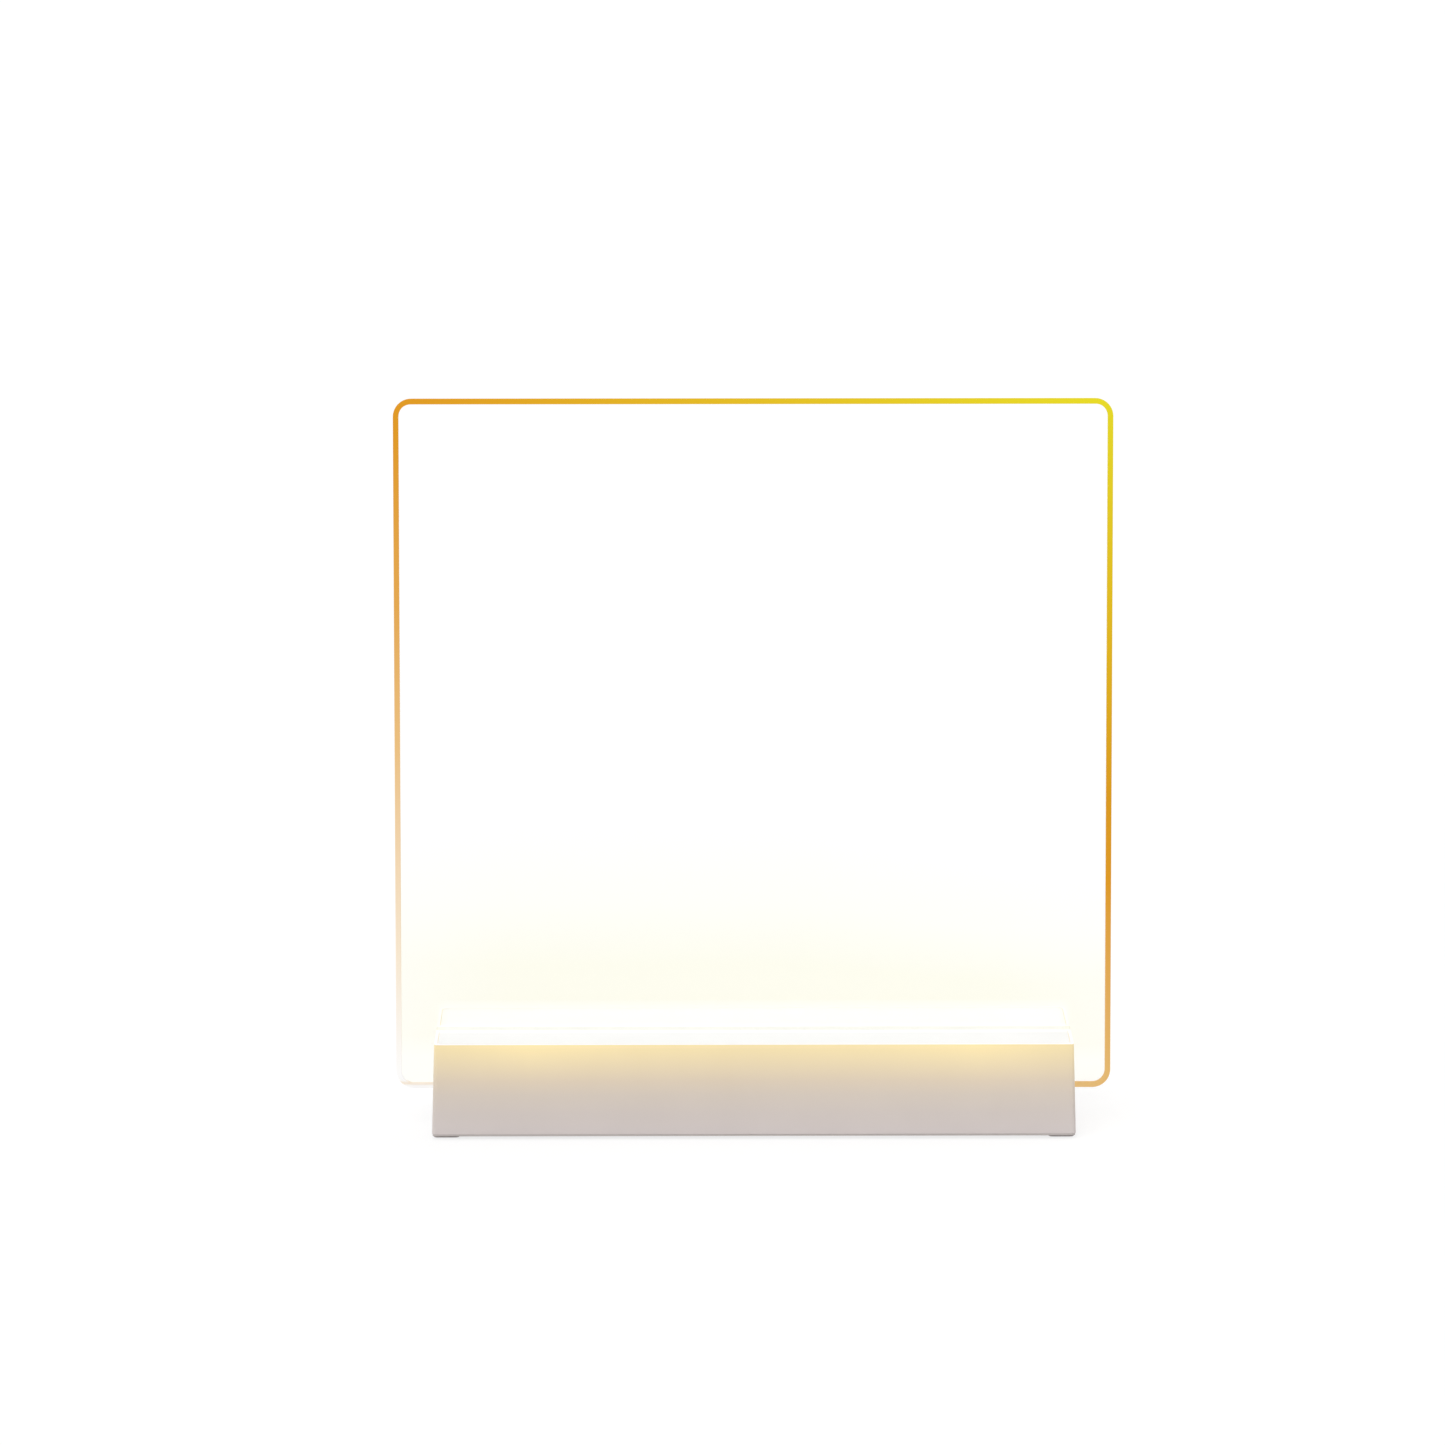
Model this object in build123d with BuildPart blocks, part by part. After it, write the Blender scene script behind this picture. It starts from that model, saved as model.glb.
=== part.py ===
from build123d import *

import os
from math import cos, radians, sin, tan

# LED writing board: a clear acrylic panel that stands, leaning back, in the slot of a lit white base.
# Millimetres. +X runs along the board, +Y points away from the viewer, +Z points up.
# The origin is the middle of the base's footprint, on the table.

# Writing panel
PANEL_WIDTH = 200.0
PANEL_HEIGHT = 193.0
PANEL_THICK = 4.0
PANEL_CORNER = 5.0
PANEL_BEVEL = 1.5
PANEL_LEAN_DEG = 6.5

# Base, seen from outside
BASE_LENGTH = 179.0
BASE_DEPTH = 45.0
BASE_TOP = 27.0
BASE_DRAFT_DEG = 1.75
FRONT_CORNER = 1.0
BACK_CORNER = 3.0
WALL = 2.0
OVERRUN = 5.0

# Slot and the lit top: a flat lid with a leaning channel that holds the panel
SLOT_TO_BACK = 25.5
SLOT_CLEAR = 0.3
CHANNEL_WALL = 1.5
CHANNEL_FLOOR = 1.5
CHANNEL_FIT = 0.1
LID_THICK = 2.0
LID_RIM = 0.9
LID_FIT = 0.1

# Silicone pads that steady the panel in the slot
PAD_LENGTH = 14.0
PAD_HEIGHT = 8.0
PAD_THICK = 0.8
PAD_PROUD = 0.2
PAD_RISE = 4.0
PAD_SPACING = 120.0

# Feet
FOOT_THICK = 1.0
FOOT_LENGTH = 7.0
FOOT_DEPTH = 10.0
FOOT_CORNER = 1.0
FOOT_END_INSET = 0.4
FOOT_FACE_INSET = 2.8

# Bottom cover
COVER_EDGE = 0.6
COVER_THICK = 2.0
COVER_SHY = 0.15
COVER_FIT = 0.15

# Cover screws, driven from below into bosses on the long walls
SCREW_END_INSET = 12.5
SCREW_WALL_INSET = 4.0
SCREW_RADIUS = 1.3
SCREW_LENGTH = 6.0
SCREW_HEAD_RADIUS = 2.4
SCREW_HEAD_THICK = 1.5
SCREW_THREAD_FIT = 0.02
SCREW_HEAD_FIT = 0.2
SCREW_HEAD_SINK = 0.3
SCREW_PAD_RADIUS = 4.0
SCREW_PAD_THICK = 1.0
CROSS_LENGTH = 2.6
CROSS_WIDTH = 0.6
CROSS_DEPTH = 0.8
BOSS_RADIUS = 3.0
BOSS_WEB = 2.4
BOSS_END = 2.0
SCREW_TIP_GAP = 1.2

# Strip of light emitting diodes under the channel
STRIP_END_GAP = 14.0
STRIP_WIDTH = 8.0
STRIP_THICK = 1.2
LED_PITCH = 9.0
LED_LENGTH = 3.5
LED_WIDTH = 2.8
LED_THICK = 0.8
LED_GAP = 0.6
LED_CUP_RADIUS = 1.15
LED_CUP_DEPTH = 0.3
LED_CUP_FIT = 0.05
LEDS_PER_RESISTOR = 3
CHIP_RESISTOR_LENGTH = 1.6
CHIP_RESISTOR_WIDTH = 0.8
CHIP_RESISTOR_THICK = 0.5
SADDLE_PITCH = 36.0
SADDLE_RISE = 3.26
SADDLE_THICK = 2.0
SADDLE_LIP = 1.1
SADDLE_LIP_RISE = 0.4
SADDLE_FIT = 0.1

# Battery in the rear bay, on two cradles and a foam block
CELL_RADIUS = 7.1
CELL_LENGTH = 49.0
CELL_EDGE = 0.6
CELL_NUB_RADIUS = 2.7
CELL_NUB_LENGTH = 1.0
CELL_END_INSET = 16.5
CELL_BACK_GAP = 2.9
CELL_LIFT = 1.0
CRADLE_SPACING = 34.0
CRADLE_THICK = 2.5
CRADLE_WALL = 1.5
CRADLE_FIT = 0.2
FOAM_LENGTH = 22.0
FOAM_DEPTH = 9.0
FOAM_FIT = 0.1
TAB_WIDTH = 4.0
TAB_HEIGHT = 10.0
TAB_THICK = 0.2

# Control board in the rear bay, on four pillars
BOARD_END_INSET = 18.5
BOARD_LENGTH = 46.0
BOARD_DEPTH = 15.0
BOARD_THICK = 1.2
BOARD_BACK_GAP = 1.9
BOARD_LIFT = 2.0
PILLAR_RADIUS = 2.2
PILLAR_INSET = 3.0
BOARD_SCREW_RADIUS = 1.0
BOARD_SCREW_LENGTH = 4.0
BOARD_SCREW_HEAD_RADIUS = 1.8
BOARD_SCREW_HEAD_THICK = 1.2
BOARD_SCREW_FIT = 0.02
BOARD_HOLE_FIT = 0.2

# USB-C inlet
USB_OFFSET = 12.0
USB_WIDTH = 8.94
USB_HEIGHT = 3.26
USB_LENGTH = 7.35
USB_SKIN = 0.3
USB_RECESS = 0.3
USB_WALL_FIT = 0.2
TONGUE_WIDTH = 6.7
TONGUE_THICK = 0.7
TONGUE_LENGTH = 4.4
TONGUE_ROOT = 2.0
TONGUE_FIT = 0.02

# Mode button, its switch and the status light
BUTTON_OFFSET = 12.0
BUTTON_RADIUS = 3.0
BUTTON_PROUD = 0.3
BUTTON_DIMPLE_RADIUS = 5.0
BUTTON_DIMPLE_DEPTH = 0.7
BUTTON_HOLE_FIT = 0.2
BUTTON_EDGE = 0.3
BUTTON_FLANGE_RADIUS = 4.0
BUTTON_FLANGE_THICK = 0.8
BUTTON_FLANGE_GAP = 0.3
BUTTON_STEM_RADIUS = 1.4
SWITCH_LENGTH = 6.0
SWITCH_DEPTH = 3.6
SWITCH_HEIGHT = 4.2
SWITCH_BACK_INSET = 2.4
PLUNGER_RADIUS = 1.2
PLUNGER_REACH = 1.3
PLUNGER_HIDDEN = 0.9
PLUNGER_TRAVEL_ROOM = 0.7
PLUNGER_FIT = 0.1
PIPE_RADIUS = 0.9
PIPE_COLLAR_RADIUS = 1.5
PIPE_COLLAR_THICK = 0.8
PIPE_WALL_GAP = 0.1
PIPE_HOLE_FIT = 0.05
STATUS_LED_LENGTH = 2.0
STATUS_LED_DEPTH = 1.2
STATUS_LED_HEIGHT = 1.2
STATUS_LED_GAP = 0.2

# Parts soldered on the control board
CHIP_LENGTH = 5.0
CHIP_WIDTH = 4.0
CHIP_THICK = 1.4
CHIP_STANDOFF = 0.1
CHIP_EDGE = 0.2
CHIP_INSET = 6.4
CHIP_GAP = 2.0
LEAD_COUNT = 4
LEAD_PITCH = 1.1
LEAD_WIDTH = 0.4
LEAD_REACH = 0.9
LEAD_THICK = 0.2
INDUCTOR_SIDE = 5.0
INDUCTOR_THICK = 3.0
INDUCTOR_EDGE = 0.8
CAPACITOR_LENGTH = 3.2
CAPACITOR_WIDTH = 1.6
CAPACITOR_THICK = 1.3
CAPACITOR_EDGE = 0.2
CAPACITOR_PITCH = 4.0
CAPACITOR_COUNT = 3
CAPACITOR_OFFSET = 5.0

# Battery connector
SOCKET_LENGTH = 6.0
SOCKET_WIDTH = 5.4
SOCKET_HEIGHT = 4.6
SOCKET_WALL = 0.7
SOCKET_FIT = 0.05
SOCKET_EDGE_INSET = 1.5
SOCKET_SHIFT = 0.4
PLUG_OUT = 3.0
PLUG_PITCH = 2.0

# Wires
WIRE_RADIUS = 0.6
LED_WIRE_RADIUS = 0.5
WIRE_REST = 0.1
WIRE_ARC_SHARE = 0.45
WIRE_RUN_SHARE = 0.33
TAB_WIRE_SHARE = 0.25
LED_WIRE_OFFSET = 9.0
LED_WIRE_PITCH = 3.0
LED_WIRE_PAD = 2.6

# Places that follow from the sizes
lean = radians(PANEL_LEAN_DEG)
shell_bottom = FOOT_THICK + COVER_EDGE
cover_top = FOOT_THICK + COVER_THICK
strip_rise = SADDLE_RISE + STRIP_THICK + LED_THICK + LED_GAP + CHANNEL_FLOOR
panel_z = cover_top + strip_rise * cos(lean)
slot_y = BASE_DEPTH / 2 - SLOT_TO_BACK
panel_y = slot_y - (BASE_TOP - panel_z) * tan(lean)
slot_half = PANEL_THICK / 2 + SLOT_CLEAR
channel_half = slot_half + CHANNEL_WALL
screw_pad_top = cover_top + SCREW_PAD_THICK
screw_seat = FOOT_THICK + SCREW_HEAD_SINK + SCREW_HEAD_THICK


def leaning(back, up):
    """Y and Z of a point in the panel's own section: back across its thickness, up along its height."""
    y = panel_y + back * cos(lean) + up * sin(lean)
    z = panel_z - back * sin(lean) + up * cos(lean)
    return y, z


def level(up):
    """Plane square to the panel at a height along it, facing up the panel."""
    return Plane(origin=(0, *leaning(0, up)), x_dir=(1, 0, 0), z_dir=(0, sin(lean), cos(lean)))


def draft_at(z):
    """How far each outside wall of the base has come in at height z."""
    return (z - shell_bottom) * tan(radians(BASE_DRAFT_DEG))


def rear_face(z):
    """Y of the rear wall's outside at height z."""
    return BASE_DEPTH / 2 - draft_at(z)


def facing_back(x, y, z):
    """Plane that faces away from the viewer, with its x axis along +X."""
    return Plane(origin=(x, y, z), x_dir=(1, 0, 0), z_dir=(0, 1, 0))


# The panel's section across its thickness, and the plane of its sheet, which faces the viewer
section = Plane(origin=(0, panel_y, panel_z), x_dir=(0, cos(lean), -sin(lean)), z_dir=(1, 0, 0))
sheet = Plane(origin=(0, panel_y, panel_z), x_dir=(1, 0, 0), z_dir=(0, -cos(lean), sin(lean)))
os.makedirs("parts", exist_ok=True)

# Clear writing panel, bevelled all round on both faces
with BuildPart() as writing_panel:
    with BuildSketch(sheet):
        with Locations((0, PANEL_HEIGHT / 2)):
            RectangleRounded(PANEL_WIDTH, PANEL_HEIGHT, PANEL_CORNER)
    extrude(amount=PANEL_THICK / 2, both=True)
    chamfer(writing_panel.faces().filter_by(sheet).edges(), PANEL_BEVEL)
writing_panel.part.label = "writing_panel"
export_step(writing_panel.part, "parts/writing_panel.step")

# Outside of the base as one block, which the shell and the lit top are cut from
with BuildPart() as outside:
    with BuildSketch(Plane.XY.offset(shell_bottom)):
        Rectangle(BASE_LENGTH, BASE_DEPTH)
    extrude(amount=BASE_TOP - shell_bottom, taper=BASE_DRAFT_DEG)
    fillet(outside.edges().group_by(Axis.Z)[1].group_by(Axis.Y)[0], FRONT_CORNER)
    fillet(outside.edges().group_by(Axis.Z)[1].group_by(Axis.Y)[-1], BACK_CORNER)

lid_length = BASE_LENGTH - 2 * draft_at(BASE_TOP) - 2 * LID_RIM
lid_depth = BASE_DEPTH - 2 * draft_at(BASE_TOP) - 2 * LID_RIM
lid_corner = BACK_CORNER - LID_RIM
screw_x = BASE_LENGTH / 2 - SCREW_END_INSET
screw_y = BASE_DEPTH / 2 - WALL - SCREW_WALL_INSET
screw_hole_top = screw_seat + SCREW_LENGTH + SCREW_TIP_GAP
screw_places = [(x, y) for x in (-screw_x, screw_x) for y in (-screw_y, screw_y)]
web_reach = BASE_DEPTH / 2 - WALL / 2 - screw_y

# The control board, and the rear openings, whose heights it sets
board_x = BASE_LENGTH / 2 - BOARD_END_INSET - BOARD_LENGTH / 2
board_back = BASE_DEPTH / 2 - WALL - BOARD_BACK_GAP
board_y = board_back - BOARD_DEPTH / 2
usb_x = board_x - USB_OFFSET
button_x = board_x + BUTTON_OFFSET
board_z = cover_top + BOARD_LIFT
board_top = board_z + BOARD_THICK
usb_z = board_top + USB_HEIGHT / 2
button_z = board_top + SWITCH_HEIGHT / 2
pipe_z = board_top + STATUS_LED_HEIGHT / 2
usb_mouth = rear_face(usb_z) - USB_RECESS
button_floor = rear_face(button_z) - BUTTON_DIMPLE_DEPTH

# White outer shell: four leaning walls, open above for the lit top and below for the cover
with BuildPart() as housing_shell:
    add(outside.part)
    with BuildSketch(Plane.XY.offset(shell_bottom)):
        Rectangle(BASE_LENGTH - 2 * WALL, BASE_DEPTH - 2 * WALL)
    extrude(amount=BASE_TOP - shell_bottom, taper=BASE_DRAFT_DEG, mode=Mode.SUBTRACT)
    with BuildSketch(Plane.XY.offset(screw_pad_top)):
        with Locations(*screw_places):
            Circle(BOSS_RADIUS)
        with GridLocations(2 * screw_x, 2 * screw_y + web_reach, 2, 2):
            Rectangle(BOSS_WEB, web_reach)
    extrude(amount=screw_hole_top + BOSS_END - screw_pad_top)
    with BuildSketch(Plane.XY.offset(BASE_TOP - LID_THICK)):
        RectangleRounded(lid_length, lid_depth, lid_corner)
    extrude(amount=LID_THICK + OVERRUN, mode=Mode.SUBTRACT)
    with BuildSketch(section):
        with Locations((0, -CHANNEL_FLOOR - CHANNEL_FIT)):
            Rectangle(2 * (channel_half + CHANNEL_FIT), BASE_TOP, align=(Align.CENTER, Align.MIN))
    extrude(amount=BASE_LENGTH, both=True, mode=Mode.SUBTRACT)
    with BuildSketch(Plane.XY.offset(screw_pad_top)):
        with Locations(*screw_places):
            Circle(SCREW_RADIUS + SCREW_THREAD_FIT)
    extrude(amount=screw_hole_top - screw_pad_top, mode=Mode.SUBTRACT)
    with BuildSketch(facing_back(usb_x, usb_mouth + OVERRUN, usb_z)):
        usb_gap = 2 * USB_WALL_FIT
        RectangleRounded(USB_WIDTH + usb_gap, USB_HEIGHT + usb_gap, USB_HEIGHT / 2)
    extrude(amount=-2 * OVERRUN, mode=Mode.SUBTRACT)
    with BuildSketch(facing_back(button_x, button_floor, button_z)):
        Circle(BUTTON_DIMPLE_RADIUS)
    extrude(amount=OVERRUN, mode=Mode.SUBTRACT)
    with BuildSketch(facing_back(button_x, button_floor + OVERRUN, button_z)):
        Circle(BUTTON_RADIUS + BUTTON_HOLE_FIT)
    extrude(amount=-2 * OVERRUN, mode=Mode.SUBTRACT)
    with BuildSketch(facing_back(board_x, rear_face(pipe_z) + OVERRUN, pipe_z)):
        Circle(PIPE_RADIUS + PIPE_HOLE_FIT)
    extrude(amount=-2 * OVERRUN, mode=Mode.SUBTRACT)
housing_shell.part.label = "housing_shell"
export_step(housing_shell.part, "parts/housing_shell.step")

pad_places = [(-PAD_SPACING / 2, PAD_RISE), (PAD_SPACING / 2, PAD_RISE)]

# Milky top: the lid that glows, and the leaning channel that holds the panel's lower edge
with BuildPart() as top_diffuser:
    with BuildSketch(Plane.XY.offset(BASE_TOP - LID_THICK)):
        RectangleRounded(lid_length - 2 * LID_FIT, lid_depth - 2 * LID_FIT, lid_corner - LID_FIT)
    extrude(amount=LID_THICK)
    with BuildSketch(section):
        with Locations((0, -CHANNEL_FLOOR)):
            Rectangle(2 * channel_half, BASE_TOP, align=(Align.CENTER, Align.MIN))
    extrude(amount=BASE_LENGTH / 2, both=True)
    add(outside.part, mode=Mode.INTERSECT)
    with BuildSketch(section):
        Rectangle(2 * slot_half, BASE_TOP, align=(Align.CENTER, Align.MIN))
    extrude(amount=BASE_LENGTH, both=True, mode=Mode.SUBTRACT)
    for side in (1, -1):
        with BuildSketch(sheet.offset(side * (slot_half - PAD_PROUD))):
            with Locations(*pad_places):
                Rectangle(PAD_LENGTH, PAD_HEIGHT, align=(Align.CENTER, Align.MIN))
        extrude(amount=side * PAD_THICK, mode=Mode.SUBTRACT)
top_diffuser.part.label = "top_diffuser"
export_step(top_diffuser.part, "parts/top_diffuser.step")

# Four clear silicone pads let into the channel's walls
with BuildPart() as slot_pads:
    for side in (1, -1):
        with BuildSketch(sheet.offset(side * (slot_half - PAD_PROUD))):
            with Locations(*pad_places):
                Rectangle(PAD_LENGTH, PAD_HEIGHT, align=(Align.CENTER, Align.MIN))
        extrude(amount=side * PAD_THICK)
slot_pads.part.label = "slot_pads"
export_step(slot_pads.part, "parts/slot_pads.step")

# Heights along the panel's own section below the channel
led_top = -CHANNEL_FLOOR - LED_GAP
strip_top = led_top - LED_THICK
strip_under = strip_top - STRIP_THICK
saddle_half = STRIP_WIDTH / 2 + SADDLE_FIT + SADDLE_LIP
saddle_foot = -(panel_z - FOOT_THICK - COVER_THICK / 2) / cos(lean)
strip_length = BASE_LENGTH - 2 * WALL - 2 * STRIP_END_GAP
led_count = int(strip_length // LED_PITCH)
led_gaps = [LED_PITCH * (gap - led_count / 2) for gap in range(1, led_count)]
saddle_count = 1 + int(strip_length // SADDLE_PITCH)
cell_left = CELL_END_INSET - BASE_LENGTH / 2
cell_right = cell_left + CELL_LENGTH
cell_x = (cell_left + cell_right) / 2
cell_y = BASE_DEPTH / 2 - WALL - CELL_BACK_GAP - CELL_RADIUS
cell_z = cover_top + CELL_LIFT + CELL_RADIUS
pillar_x = BOARD_LENGTH / 2 - PILLAR_INSET
pillar_y = BOARD_DEPTH / 2 - PILLAR_INSET
pillar_places = [(board_x + x, board_y + y) for x in (-pillar_x, pillar_x) for y in (-pillar_y, pillar_y)]
board_screw_places = [(board_x - pillar_x, board_y - pillar_y), (board_x + pillar_x, board_y - pillar_y)]

# Bottom cover: a plate that fills the shell's mouth, with seats for the light strip, cell and board
with BuildPart() as bottom_cover:
    with BuildSketch(Plane.XY.offset(FOOT_THICK)):
        Rectangle(BASE_LENGTH - 2 * COVER_SHY, BASE_DEPTH - 2 * COVER_SHY)
    extrude(amount=COVER_EDGE)
    fillet(bottom_cover.edges().filter_by(Axis.Z).group_by(Axis.Y)[0], FRONT_CORNER)
    fillet(bottom_cover.edges().filter_by(Axis.Z).group_by(Axis.Y)[-1], BACK_CORNER)
    with BuildSketch(Plane.XY.offset(FOOT_THICK)):
        cover_gap = 2 * (WALL + COVER_FIT)
        Rectangle(BASE_LENGTH - cover_gap, BASE_DEPTH - cover_gap)
    extrude(amount=COVER_THICK)
    with BuildSketch(Plane.XY.offset(cover_top)):
        with Locations(*screw_places):
            Circle(SCREW_PAD_RADIUS)
        Rectangle(BASE_LENGTH, BASE_DEPTH - 2 * (WALL + COVER_FIT), mode=Mode.INTERSECT)
    extrude(amount=SCREW_PAD_THICK)
    with BuildSketch(Plane.XY.offset(cover_top)):
        with Locations(*pillar_places):
            Circle(PILLAR_RADIUS)
    extrude(amount=BOARD_LIFT)
    for saddle in range(saddle_count):
        saddle_x = (saddle - (saddle_count - 1) / 2) * SADDLE_PITCH
        with BuildSketch(section.offset(saddle_x)):
            with Locations((0, saddle_foot)):
                saddle_rise = strip_top + SADDLE_LIP_RISE - saddle_foot
                Rectangle(2 * saddle_half, saddle_rise, align=(Align.CENTER, Align.MIN))
            with Locations((0, strip_under)):
                seat_size = (STRIP_WIDTH + 2 * SADDLE_FIT, STRIP_THICK + OVERRUN)
                Rectangle(*seat_size, align=(Align.CENTER, Align.MIN), mode=Mode.SUBTRACT)
        extrude(amount=SADDLE_THICK / 2, both=True)
    for end in (-1, 1):
        with BuildSketch(Plane.YZ.offset(cell_x + end * CRADLE_SPACING / 2)):
            with Locations((cell_y, cover_top)):
                cradle_width = 2 * (CELL_RADIUS + CRADLE_FIT + CRADLE_WALL)
                Rectangle(cradle_width, CELL_LIFT + CELL_RADIUS, align=(Align.CENTER, Align.MIN))
            with Locations((cell_y, cell_z)):
                Circle(CELL_RADIUS + CRADLE_FIT, mode=Mode.SUBTRACT)
        extrude(amount=CRADLE_THICK / 2, both=True)
    with BuildSketch(Plane.XY.offset(FOOT_THICK)):
        with Locations(*screw_places):
            Circle(SCREW_HEAD_RADIUS + SCREW_HEAD_FIT)
    extrude(amount=screw_seat - FOOT_THICK, mode=Mode.SUBTRACT)
    with BuildSketch(Plane.XY.offset(screw_seat)):
        with Locations(*screw_places):
            Circle(SCREW_RADIUS + SCREW_HEAD_FIT)
    extrude(amount=SCREW_PAD_THICK + COVER_THICK, mode=Mode.SUBTRACT)
    with BuildSketch(Plane.XY.offset(board_z)):
        with Locations(*board_screw_places):
            Circle(BOARD_SCREW_RADIUS + BOARD_SCREW_FIT)
    extrude(amount=BOARD_THICK - BOARD_SCREW_LENGTH - SCREW_HEAD_FIT, mode=Mode.SUBTRACT)
bottom_cover.part.label = "bottom_cover"
export_step(bottom_cover.part, "parts/bottom_cover.step")


def pan_screws(places, seat, out, head_radius, head_thick, shank_radius, shank_length):
    """Adds screws whose heads sit at height seat, on the side that out points to: 1 up, -1 down."""
    with BuildSketch(Plane.XY.offset(seat)) as heads:
        with Locations(*places):
            Circle(head_radius)
    extrude(heads.sketch, amount=out * head_thick)
    with BuildSketch(Plane.XY.offset(seat)) as shanks:
        with Locations(*places):
            Circle(shank_radius)
    extrude(shanks.sketch, amount=-out * shank_length)
    with BuildSketch(Plane.XY.offset(seat + out * head_thick)) as crosses:
        with Locations(*places):
            Rectangle(CROSS_LENGTH, CROSS_WIDTH)
            Rectangle(CROSS_WIDTH, CROSS_LENGTH)
    extrude(crosses.sketch, amount=-out * CROSS_DEPTH, mode=Mode.SUBTRACT)


# Four screws that hold the cover, their heads sunk in its underside
with BuildPart() as cover_screws:
    pan_screws(
        screw_places, screw_seat, -1, SCREW_HEAD_RADIUS, SCREW_HEAD_THICK, SCREW_RADIUS, SCREW_LENGTH
    )
cover_screws.part.label = "cover_screws"
export_step(cover_screws.part, "parts/cover_screws.step")

# Two small screws that hold the control board's front corners
with BuildPart() as board_screws:
    pan_screws(
        board_screw_places, board_top, 1, BOARD_SCREW_HEAD_RADIUS, BOARD_SCREW_HEAD_THICK,
        BOARD_SCREW_RADIUS, BOARD_SCREW_LENGTH,
    )
board_screws.part.label = "board_screws"
export_step(board_screws.part, "parts/board_screws.step")

# Four stick-on rubber feet at the cover's corners
with BuildPart() as rubber_feet:
    with BuildSketch(Plane.XY):
        foot_x = BASE_LENGTH / 2 - FOOT_END_INSET - FOOT_LENGTH / 2
        foot_y = BASE_DEPTH / 2 - FOOT_FACE_INSET - FOOT_DEPTH / 2
        with GridLocations(2 * foot_x, 2 * foot_y, 2, 2):
            RectangleRounded(FOOT_LENGTH, FOOT_DEPTH, FOOT_CORNER)
    extrude(amount=FOOT_THICK)
rubber_feet.part.label = "rubber_feet"
export_step(rubber_feet.part, "parts/rubber_feet.step")

# Light strip: the long board, its diodes, the phosphor in their cups and their resistors
with BuildPart() as led_board:
    with BuildSketch(level(strip_under)):
        Rectangle(strip_length, STRIP_WIDTH)
    extrude(amount=STRIP_THICK)
led_board.part.label = "led_board"
export_step(led_board.part, "parts/led_board.step")

with BuildPart() as led_packages:
    with BuildSketch(level(strip_top)):
        with GridLocations(LED_PITCH, 0, led_count, 1):
            Rectangle(LED_LENGTH, LED_WIDTH)
    extrude(amount=LED_THICK)
    with BuildSketch(level(led_top)):
        with GridLocations(LED_PITCH, 0, led_count, 1):
            Circle(LED_CUP_RADIUS)
    extrude(amount=-LED_CUP_DEPTH, mode=Mode.SUBTRACT)
led_packages.part.label = "led_packages"
export_step(led_packages.part, "parts/led_packages.step")

with BuildPart() as led_phosphor:
    with BuildSketch(level(led_top - LED_CUP_DEPTH)):
        with GridLocations(LED_PITCH, 0, led_count, 1):
            Circle(LED_CUP_RADIUS - LED_CUP_FIT)
    extrude(amount=LED_CUP_DEPTH)
led_phosphor.part.label = "led_phosphor"
export_step(led_phosphor.part, "parts/led_phosphor.step")

with BuildPart() as strip_resistors:
    with BuildSketch(level(strip_top)):
        with Locations(*[(gap, 0) for gap in led_gaps[1::LEDS_PER_RESISTOR]]):
            Rectangle(CHIP_RESISTOR_WIDTH, CHIP_RESISTOR_LENGTH)
    extrude(amount=CHIP_RESISTOR_THICK)
strip_resistors.part.label = "strip_resistors"
export_step(strip_resistors.part, "parts/strip_resistors.step")

# Battery cell in its sleeve, lying along the rear bay, with its raised contact at the right end
with BuildPart() as battery_cell:
    with BuildSketch(Plane.YZ.offset(cell_left)):
        with Locations((cell_y, cell_z)):
            Circle(CELL_RADIUS)
    extrude(amount=CELL_LENGTH)
    fillet(battery_cell.edges(), CELL_EDGE)
    with BuildSketch(Plane.YZ.offset(cell_right)):
        with Locations((cell_y, cell_z)):
            Circle(CELL_NUB_RADIUS)
    extrude(amount=CELL_NUB_LENGTH)
battery_cell.part.label = "battery_cell"
export_step(battery_cell.part, "parts/battery_cell.step")

# Nickel tabs welded to the cell's two ends
tab_places = [cell_left - TAB_THICK, cell_right + CELL_NUB_LENGTH]
with BuildPart() as battery_tabs:
    for tab_x in tab_places:
        with BuildSketch(Plane.YZ.offset(tab_x)):
            with Locations((cell_y, cell_z)):
                Rectangle(TAB_WIDTH, TAB_HEIGHT)
        extrude(amount=TAB_THICK)
battery_tabs.part.label = "battery_tabs"
export_step(battery_tabs.part, "parts/battery_tabs.step")

# Foam block between the cradles, hollowed to the cell
with BuildPart() as battery_foam:
    with BuildSketch(Plane.YZ.offset(cell_x)):
        with Locations((cell_y, cover_top)):
            Rectangle(FOAM_DEPTH, CELL_LIFT + CELL_RADIUS, align=(Align.CENTER, Align.MIN))
        with Locations((cell_y, cell_z)):
            Circle(CELL_RADIUS + FOAM_FIT, mode=Mode.SUBTRACT)
    extrude(amount=FOAM_LENGTH / 2, both=True)
battery_foam.part.label = "battery_foam"
export_step(battery_foam.part, "parts/battery_foam.step")

# Control board
with BuildPart() as control_board:
    with BuildSketch(Plane.XY.offset(board_z)):
        with Locations((board_x, board_y)):
            Rectangle(BOARD_LENGTH, BOARD_DEPTH)
        with Locations(*board_screw_places):
            Circle(BOARD_SCREW_RADIUS + BOARD_HOLE_FIT, mode=Mode.SUBTRACT)
    extrude(amount=BOARD_THICK)
control_board.part.label = "control_board"
export_step(control_board.part, "parts/control_board.step")

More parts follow.
